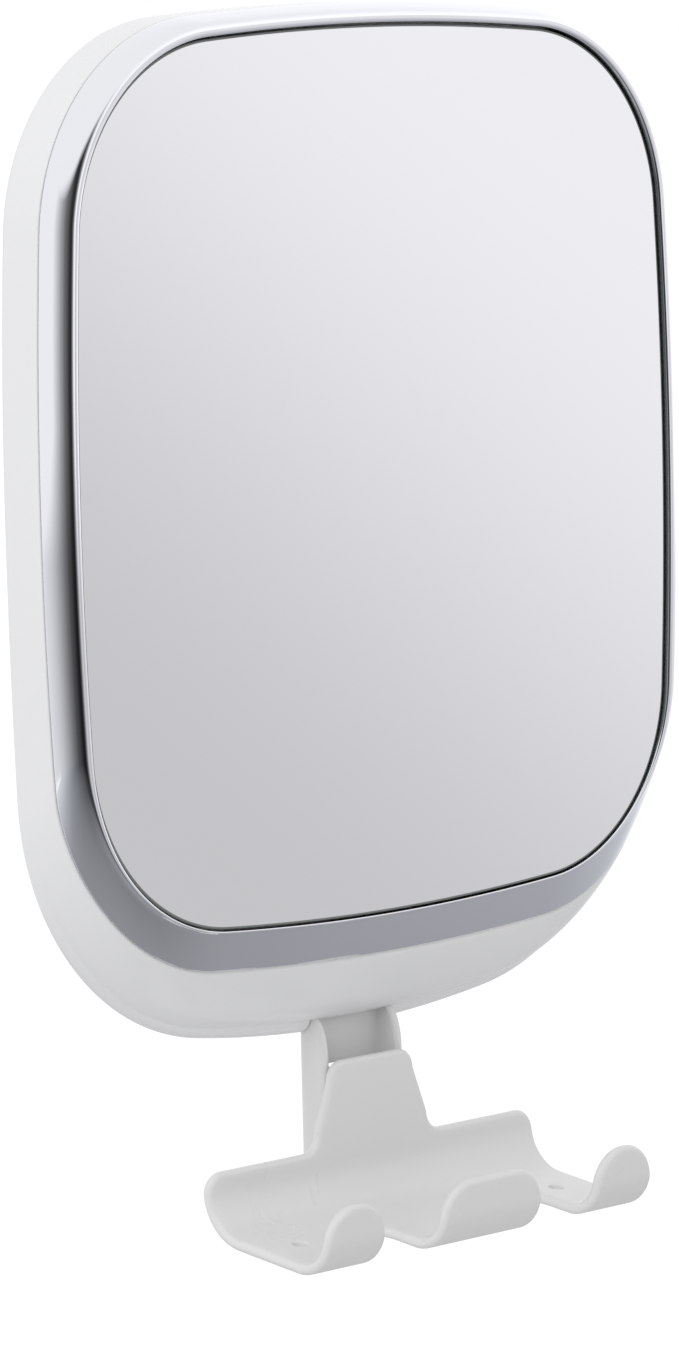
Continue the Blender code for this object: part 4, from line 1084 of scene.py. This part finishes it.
# Greys by bearing, in degrees round the head from its front, to the viewer's right
WALL_GREYS = [
    (-150, 1.0), (-138, 0.9), (-126, 0.76), (-118, 0.64), (-110, 0.49), (-101, 0.34), (-90, 0.2), (-74, 0.085),
    (-46, 0.02), (-25, 0.012), (-5, 0.12), (12, 0.45), (35, 0.8), (80, 0.9), (150, 1.0),
]
LOW_GREYS = [
    (-150, 0.9), (-126, 0.7), (-110, 0.5), (-96, 0.34), (-74, 0.2), (-46, 0.07), (-20, 0.04), (8, 0.045),
    (25, 0.14), (45, 0.36), (57, 0.44), (75, 0.5), (150, 0.6),
]
# The height in metres, more by WHITE_SHIFT, from which the upright panel turns white, by bearing
WHITE_ABOVE = [
    (-150, 0.1), (-110, 0.2), (-90, 0.4), (-74, 0.6), (-46, 1.0), (-20, 1.0), (10, 0.7), (40, 0.2), (150, 0.15),
]
WHITE_SHIFT = 0.1


def camera():
    """The photograph's view: 46.1 degrees round to the left, 6.2 above, rolled by 1.3, through a long lens."""
    azimuth, elevation, roll = math.radians(46.087), math.radians(6.1546), math.radians(-1.3282)
    level = math.cos(elevation)
    forward = Vector((math.sin(azimuth) * level, math.cos(azimuth) * level, -math.sin(elevation)))
    right = Vector((math.cos(azimuth), -math.sin(azimuth), 0.0))
    down = forward.cross(right)
    right, down = right * math.cos(roll) - down * math.sin(roll), right * math.sin(roll) + down * math.cos(roll)
    across = (CENTRE_ACROSS - PHOTO_WIDE / 2) / FOCAL_PIXELS * VIEW_DISTANCE
    along = (CENTRE_DOWN - PHOTO_TALL / 2) / FOCAL_PIXELS * VIEW_DISTANCE
    place = Vector((0.0, -pane_front, 0.0)) - forward * VIEW_DISTANCE - right * across - down * along
    data = bpy.data.cameras.new("photo_view")
    data.sensor_width = 36.0
    data.lens = FOCAL_PIXELS * data.sensor_width / PHOTO_TALL
    data.clip_start, data.clip_end = 0.05, 100.0
    made = linked("photo_view", data)
    made.matrix_world = Matrix.Translation(place) @ Matrix((right, -down, -forward)).transposed().to_4x4()
    bpy.context.scene.camera = made


def shown_rays(tree):
    """One where the ray comes from the camera, a reflection or a transmission, else zero."""
    path = add_node(tree, "ShaderNodeLightPath").outputs
    either = calculate(tree, "MAXIMUM", path["Is Camera Ray"], path["Is Glossy Ray"])
    return calculate(tree, "MAXIMUM", either, path["Is Transmission Ray"])


def surroundings():
    """White behind the object, and an even light on it."""
    world = bpy.data.worlds.new("studio")
    world.use_nodes = True
    tree = world.node_tree
    light = tree.nodes["Background"]
    light.inputs["Color"].default_value = (1.0, 1.0, 1.0, 1.0)
    light.inputs["Strength"].default_value = sizes().ambient
    seen = add_node(tree, "ShaderNodeBackground", {"Color": (1.0, 1.0, 1.0, 1.0), "Strength": 1.0})
    both = add_node(tree, "ShaderNodeMixShader", {0: shown_rays(tree), 1: light.outputs[0], 2: seen.outputs[0]})
    tree.links.new(both.outputs[0], tree.nodes["World Output"].inputs["Surface"])
    bpy.context.scene.world = world


def key_lamp():
    """The large square lamp at the upper left, which no reflection shows."""
    data = bpy.data.lights.new("key_lamp", "AREA")
    data.size = KEY_SIZE
    data.energy = sizes().key_light
    made = linked("key_lamp", data)
    made.location = KEY_PLACE
    made.rotation_euler = (Vector(KEY_TARGET) - Vector(KEY_PLACE)).to_track_quat("-Z", "Y").to_euler()
    made.visible_glossy = False


def stage_sheet(name, low, high, place):
    """One face over u and v, from low to high, each corner put in its place."""
    corners = [(low[0], low[1]), (high[0], low[1]), (high[0], high[1]), (low[0], high[1])]
    mesh = bpy.data.meshes.new(name)
    mesh.from_pydata([place(u, v) for u, v in corners], [], [(0, 1, 2, 3)])
    return linked(name, mesh)


def floor():
    """A pale floor far below, which the camera and the reflections see partly by its own glow."""
    low, high = (-FLOOR_HALF, -FLOOR_HALF), (FLOOR_HALF, FLOOR_HALF)
    made = stage_sheet("floor", low, high, lambda u, v: (u, v, -sizes().floor_drop))
    look, tree = new_material("pale_floor")
    shader = tree.nodes["Principled BSDF"]
    shader.inputs["Roughness"].default_value = 0.9
    shader.inputs["Specular IOR Level"].default_value = 0.1
    place = add_node(tree, "ShaderNodeTexCoord").outputs["Object"]
    tone = blend(tree, speckle(tree, place, 3.0, 2.0), (0.88, 0.88, 0.88, 1.0), (0.9, 0.9, 0.9, 1.0), "RGBA")
    tree.links.new(tone, shader.inputs["Base Color"])
    glow = add_node(tree, "ShaderNodeEmission", {"Strength": 1.3})
    share = calculate(tree, "MULTIPLY", shown_rays(tree), 0.65)
    both = add_node(tree, "ShaderNodeMixShader", {0: share, 1: shader.outputs[0], 2: glow.outputs[0]})
    tree.links.new(both.outputs[0], tree.nodes["Material Output"].inputs["Surface"])
    made.data.materials.append(look)


def reflection_only(made, colour, strength_of):
    """Makes the sheet a glowing panel that only reflections see. strength_of builds its strength from a tree."""
    look, tree = new_material(made.name)
    tree.nodes.clear()
    out = add_node(tree, "ShaderNodeOutputMaterial")
    glow = add_node(tree, "ShaderNodeEmission", {"Color": (*colour, 1.0), "Strength": strength_of(tree)})
    tree.links.new(glow.outputs[0], out.inputs["Surface"])
    made.data.materials.append(look)
    for ray in ("camera", "diffuse", "shadow", "transmission"):
        setattr(made, f"visible_{ray}", False)


def smooth_step(tree, value, low, high, to_low=0.0, to_high=1.0):
    """The value carried to another span by 3t^2 - 2t^3."""
    return mapped(tree, value, low, high, to_low, to_high, "SMOOTHSTEP")


def ramp(tree, bearing, stops):
    """The greys of the (bearing, grey) stops and the straight blends between them."""
    span = 2 * LAST_BEARING
    made = add_node(tree, "ShaderNodeValToRGB", {"Fac": mapped(tree, bearing, -LAST_BEARING, LAST_BEARING)})
    points = made.color_ramp.elements
    while len(points) < len(stops):
        points.new(0.5)
    for point, (place, grey) in zip(points, stops):
        point.position = (place + LAST_BEARING) / span
        point.color = (grey, grey, grey, 1.0)
    return made.outputs[0]


def panel_place(tree):
    """The place on a panel, as a whole and in its x, y and z."""
    place = add_node(tree, "ShaderNodeNewGeometry").outputs["Position"]
    return place, add_node(tree, "ShaderNodeSeparateXYZ", {0: place}).outputs


def bearing_of(tree, parts):
    """The bearing of a place on a panel, seen from the head: the angle of its x over its distance before the pane."""
    before = calculate(tree, "SUBTRACT", -pane_front, parts["Y"])
    turn = calculate(tree, "ARCTAN2", parts["X"], before)
    return add_node(tree, "ShaderNodeMath", {0: turn}, operation="DEGREES").outputs[0]


def pane_panel():
    """What the pane shows in the photograph's view: a soft grey that lightens along a slanting line."""
    azimuth, elevation, away = math.radians(46.0), math.radians(-7.0), 1.4
    level = math.cos(elevation)
    outward = Vector((math.sin(azimuth) * level, -math.cos(azimuth) * level, math.sin(elevation)))
    across = Vector((math.cos(azimuth), math.sin(azimuth), 0.0))
    up = across.cross(-outward)
    middle = Vector((0.0, -pane_front, 0.0)) + outward * away
    made = stage_sheet("pane_panel", (-0.3, -0.3), (0.3, 0.4), lambda u, v: tuple(middle + across * u + up * v))
    tilt = math.radians(41.7)
    slope = across * math.sin(tilt) + up * math.cos(tilt)
    centre, half_span = middle.dot(slope) + 0.049, 0.1615
    dark, light = 0.585, 0.90

    def strength(tree):
        place = panel_place(tree)[0]
        along = add_node(tree, "ShaderNodeVectorMath", {0: place, 1: tuple(slope)}, operation="DOT_PRODUCT")
        return smooth_step(tree, along.outputs["Value"], centre - half_span, centre + half_span, dark, light)

    reflection_only(made, (1.0, 0.985, 1.02), strength)


def wall_panel():
    """An upright panel on a circle round the head: light at both sides, dark towards the left of the front, and
    lighter higher up."""
    angle = angles(-LAST_BEARING, LAST_BEARING, 60)
    rim = np.column_stack([PANEL_RADIUS * np.sin(angle), -pane_front - PANEL_RADIUS * np.cos(angle)])
    points = np.concatenate([np.insert(rim, 2, z, axis=1) for z in (PANEL_FOOT, PANEL_TOP)])
    index = np.arange(len(rim) - 1)
    faces = np.stack([index, index + 1, index + 1 + len(rim), index + len(rim)], axis=1)
    mesh = bpy.data.meshes.new("wall_panel")
    mesh.from_pydata(points.tolist(), [], faces.tolist())

    def strength(tree):
        parts = panel_place(tree)[1]
        bearing, height = bearing_of(tree, parts), parts["Z"]
        # The greys, doubled above the panel's foot
        gain = mapped(tree, height, -0.19, -0.05, 1.0, 2.0)
        greys = calculate(tree, "MULTIPLY", ramp(tree, bearing, WALL_GREYS), gain)
        # White over 0.7 m from each bearing's own height up
        start = calculate(tree, "SUBTRACT", ramp(tree, bearing, WHITE_ABOVE), WHITE_SHIFT)
        over = smooth_step(tree, calculate(tree, "SUBTRACT", height, start), 0.0, 0.7)
        # A fifth brighter than white at the right, less so higher up
        rising, falling = smooth_step(tree, bearing, 0.0, 50.0), smooth_step(tree, bearing, LAST_BEARING, 100.0)
        right = calculate(tree, "MINIMUM", rising, falling)
        extra = calculate(tree, "MULTIPLY", right, smooth_step(tree, height, 0.7, 2.2, 0.2, 0.0))
        full = calculate(tree, "ADD", extra, 1.0)
        white = calculate(tree, "MULTIPLY", over, full)
        return calculate(tree, "MINIMUM", calculate(tree, "MAXIMUM", greys, white), full)

    reflection_only(linked("wall_panel", mesh), (1.0, 1.0, 1.02), strength)


def low_panel():
    """A level panel under the head, which the bezel's foot shows as blue-grey. Its rim meets the wall panel."""
    made = stage_sheet("low_panel", (-1.8, -1.8), (1.8, 0.9), lambda u, v: (u, v, PANEL_FOOT))

    def strength(tree):
        place, parts = panel_place(tree)
        under, under_grey = (0.0, -pane_front, PANEL_FOOT), 0.34
        away = add_node(tree, "ShaderNodeVectorMath", {0: place, 1: under}, operation="DISTANCE").outputs["Value"]
        bearing = bearing_of(tree, parts)
        near = blend(tree, smooth_step(tree, away, 0.15, 0.8), under_grey, ramp(tree, bearing, LOW_GREYS))
        return blend(tree, smooth_step(tree, away, 0.6, 1.5), near, ramp(tree, bearing, WALL_GREYS))

    reflection_only(made, (0.98, 0.99, 1.05), strength)


# Operators


class SHOWERMIRROR_OT_pane(bpy.types.Operator):
    """Builds the silvered pane and the foam tape behind it"""

    bl_idname = "shower_mirror.pane"
    bl_label = "Pane and tape"

    def execute(self, context):
        seated(mirror_pane(), "head", "mirror_pane")
        seated(tape_ring(), "head", "pane_tape")
        return {"FINISHED"}


class SHOWERMIRROR_OT_bezel(bpy.types.Operator):
    """Builds the chrome bezel"""

    bl_idname = "shower_mirror.bezel"
    bl_label = "Chrome bezel"

    def execute(self, context):
        seated(chrome_bezel(), "head", "chrome_bezel")
        return {"FINISHED"}


class SHOWERMIRROR_OT_housing(bpy.types.Operator):
    """Builds the white housing and its back plate"""

    bl_idname = "shower_mirror.housing"
    bl_label = "Housing"

    def execute(self, context):
        seated(head_shell(), "head", "head_shell")
        seated(rear_cover(), "head", "rear_cover")
        return {"FINISHED"}


class SHOWERMIRROR_OT_screws(bpy.types.Operator):
    """Builds every screw"""

    bl_idname = "shower_mirror.screws"
    bl_label = "Screws"

    def execute(self, context):
        for node in COVER_SCREWS + SOCKET_SCREWS + BRACKET_SCREWS:
            seated(screw(f"{node}_detail", node), "head", node)
        return {"FINISHED"}


class SHOWERMIRROR_OT_bracket(bpy.types.Operator):
    """Builds the hanger bracket under the chin"""

    bl_idname = "shower_mirror.bracket"
    bl_label = "Hanger bracket"

    def execute(self, context):
        seated(hanger_bracket(), "head", "hanger_bracket")
        return {"FINISHED"}


class SHOWERMIRROR_OT_holder(bpy.types.Operator):
    """Builds the razor holder with its slider and hook"""

    bl_idname = "shower_mirror.holder"
    bl_label = "Razor holder"

    def execute(self, context):
        for piece in (razor_holder(), holder_slider(), holder_hook()):
            seated(piece, "razor_holder", "razor_holder")
        return {"FINISHED"}


class SHOWERMIRROR_OT_joint(bpy.types.Operator):
    """Builds the ball joint: post, liner, bush and both socket halves"""

    bl_idname = "shower_mirror.joint"
    bl_label = "Ball joint"

    def execute(self, context):
        seated(ball_post(), "wall_mount", "ball_post")
        liner = ball_shell("liner_shell", LINER_RADIUS, "nylon")
        bush = ball_shell("bush_shell", BUSH_RADIUS, "nylon")
        seated(liner, "ball_liner", "ball_liner")
        seated(bush, "socket_bush", "socket_bush")
        seated(socket_base(), "head", "socket_base")
        seated(socket_ring(), "head", "socket_ring")
        return {"FINISHED"}


class SHOWERMIRROR_OT_mount(bpy.types.Operator):
    """Builds the suction mount: cup, stud, bell, washer and hand nut"""

    bl_idname = "shower_mirror.mount"
    bl_label = "Suction mount"

    def execute(self, context):
        seated(suction_cup(), "wall_mount", "suction_cup")
        seated(cup_stud(), "wall_mount", "cup_stud")
        seated(mount_shell(), "mount_shell", "mount_shell")
        seated(thrust_washer(), "mount_shell", "thrust_washer")
        seated(lock_ring(), "lock_ring", "lock_ring")
        return {"FINISHED"}


class SHOWERMIRROR_OT_stage(bpy.types.Operator):
    """Builds the camera, the lamp, the white surroundings, the floor and the panels that reflections show"""

    bl_idname = "shower_mirror.stage"
    bl_label = "Stage"

    def execute(self, context):
        bpy.context.scene.view_settings.view_transform = "Standard"
        camera()
        surroundings()
        floor()
        key_lamp()
        pane_panel()
        wall_panel()
        low_panel()
        return {"FINISHED"}


class SHOWERMIRROR_PT_panel(bpy.types.Panel):
    """Lists the operators and the sizes"""

    bl_idname = "SHOWERMIRROR_PT_panel"
    bl_label = "Shower Mirror"
    bl_space_type = "VIEW_3D"
    bl_region_type = "UI"
    bl_category = "Shower Mirror"

    def draw(self, context):
        for group in (context.scene.shower_mirror_sizes, context.scene.shower_mirror_finishes):
            box = self.layout.box()
            for word in group.__annotations__:
                box.prop(group, word)
        for operator in OPERATORS:
            self.layout.operator(operator.bl_idname)


OPERATORS = (
    SHOWERMIRROR_OT_pane,
    SHOWERMIRROR_OT_bezel,
    SHOWERMIRROR_OT_housing,
    SHOWERMIRROR_OT_screws,
    SHOWERMIRROR_OT_bracket,
    SHOWERMIRROR_OT_holder,
    SHOWERMIRROR_OT_joint,
    SHOWERMIRROR_OT_mount,
    SHOWERMIRROR_OT_stage,
)
CLASSES = (MirrorSizes, MirrorFinishes, *OPERATORS, SHOWERMIRROR_PT_panel)


def register():
    for each in CLASSES:
        bpy.utils.register_class(each)
    bpy.types.Scene.shower_mirror_sizes = PointerProperty(type=MirrorSizes)
    bpy.types.Scene.shower_mirror_finishes = PointerProperty(type=MirrorFinishes)


def unregister():
    del bpy.types.Scene.shower_mirror_finishes
    del bpy.types.Scene.shower_mirror_sizes
    for each in reversed(CLASSES):
        bpy.utils.unregister_class(each)


def main():
    register()
    bpy.ops.shower_mirror.pane()
    bpy.ops.shower_mirror.bezel()
    bpy.ops.shower_mirror.housing()
    bpy.ops.shower_mirror.screws()
    bpy.ops.shower_mirror.bracket()
    bpy.ops.shower_mirror.holder()
    bpy.ops.shower_mirror.joint()
    bpy.ops.shower_mirror.mount()
    bpy.ops.shower_mirror.stage()


if __name__ == "__main__":
    main()
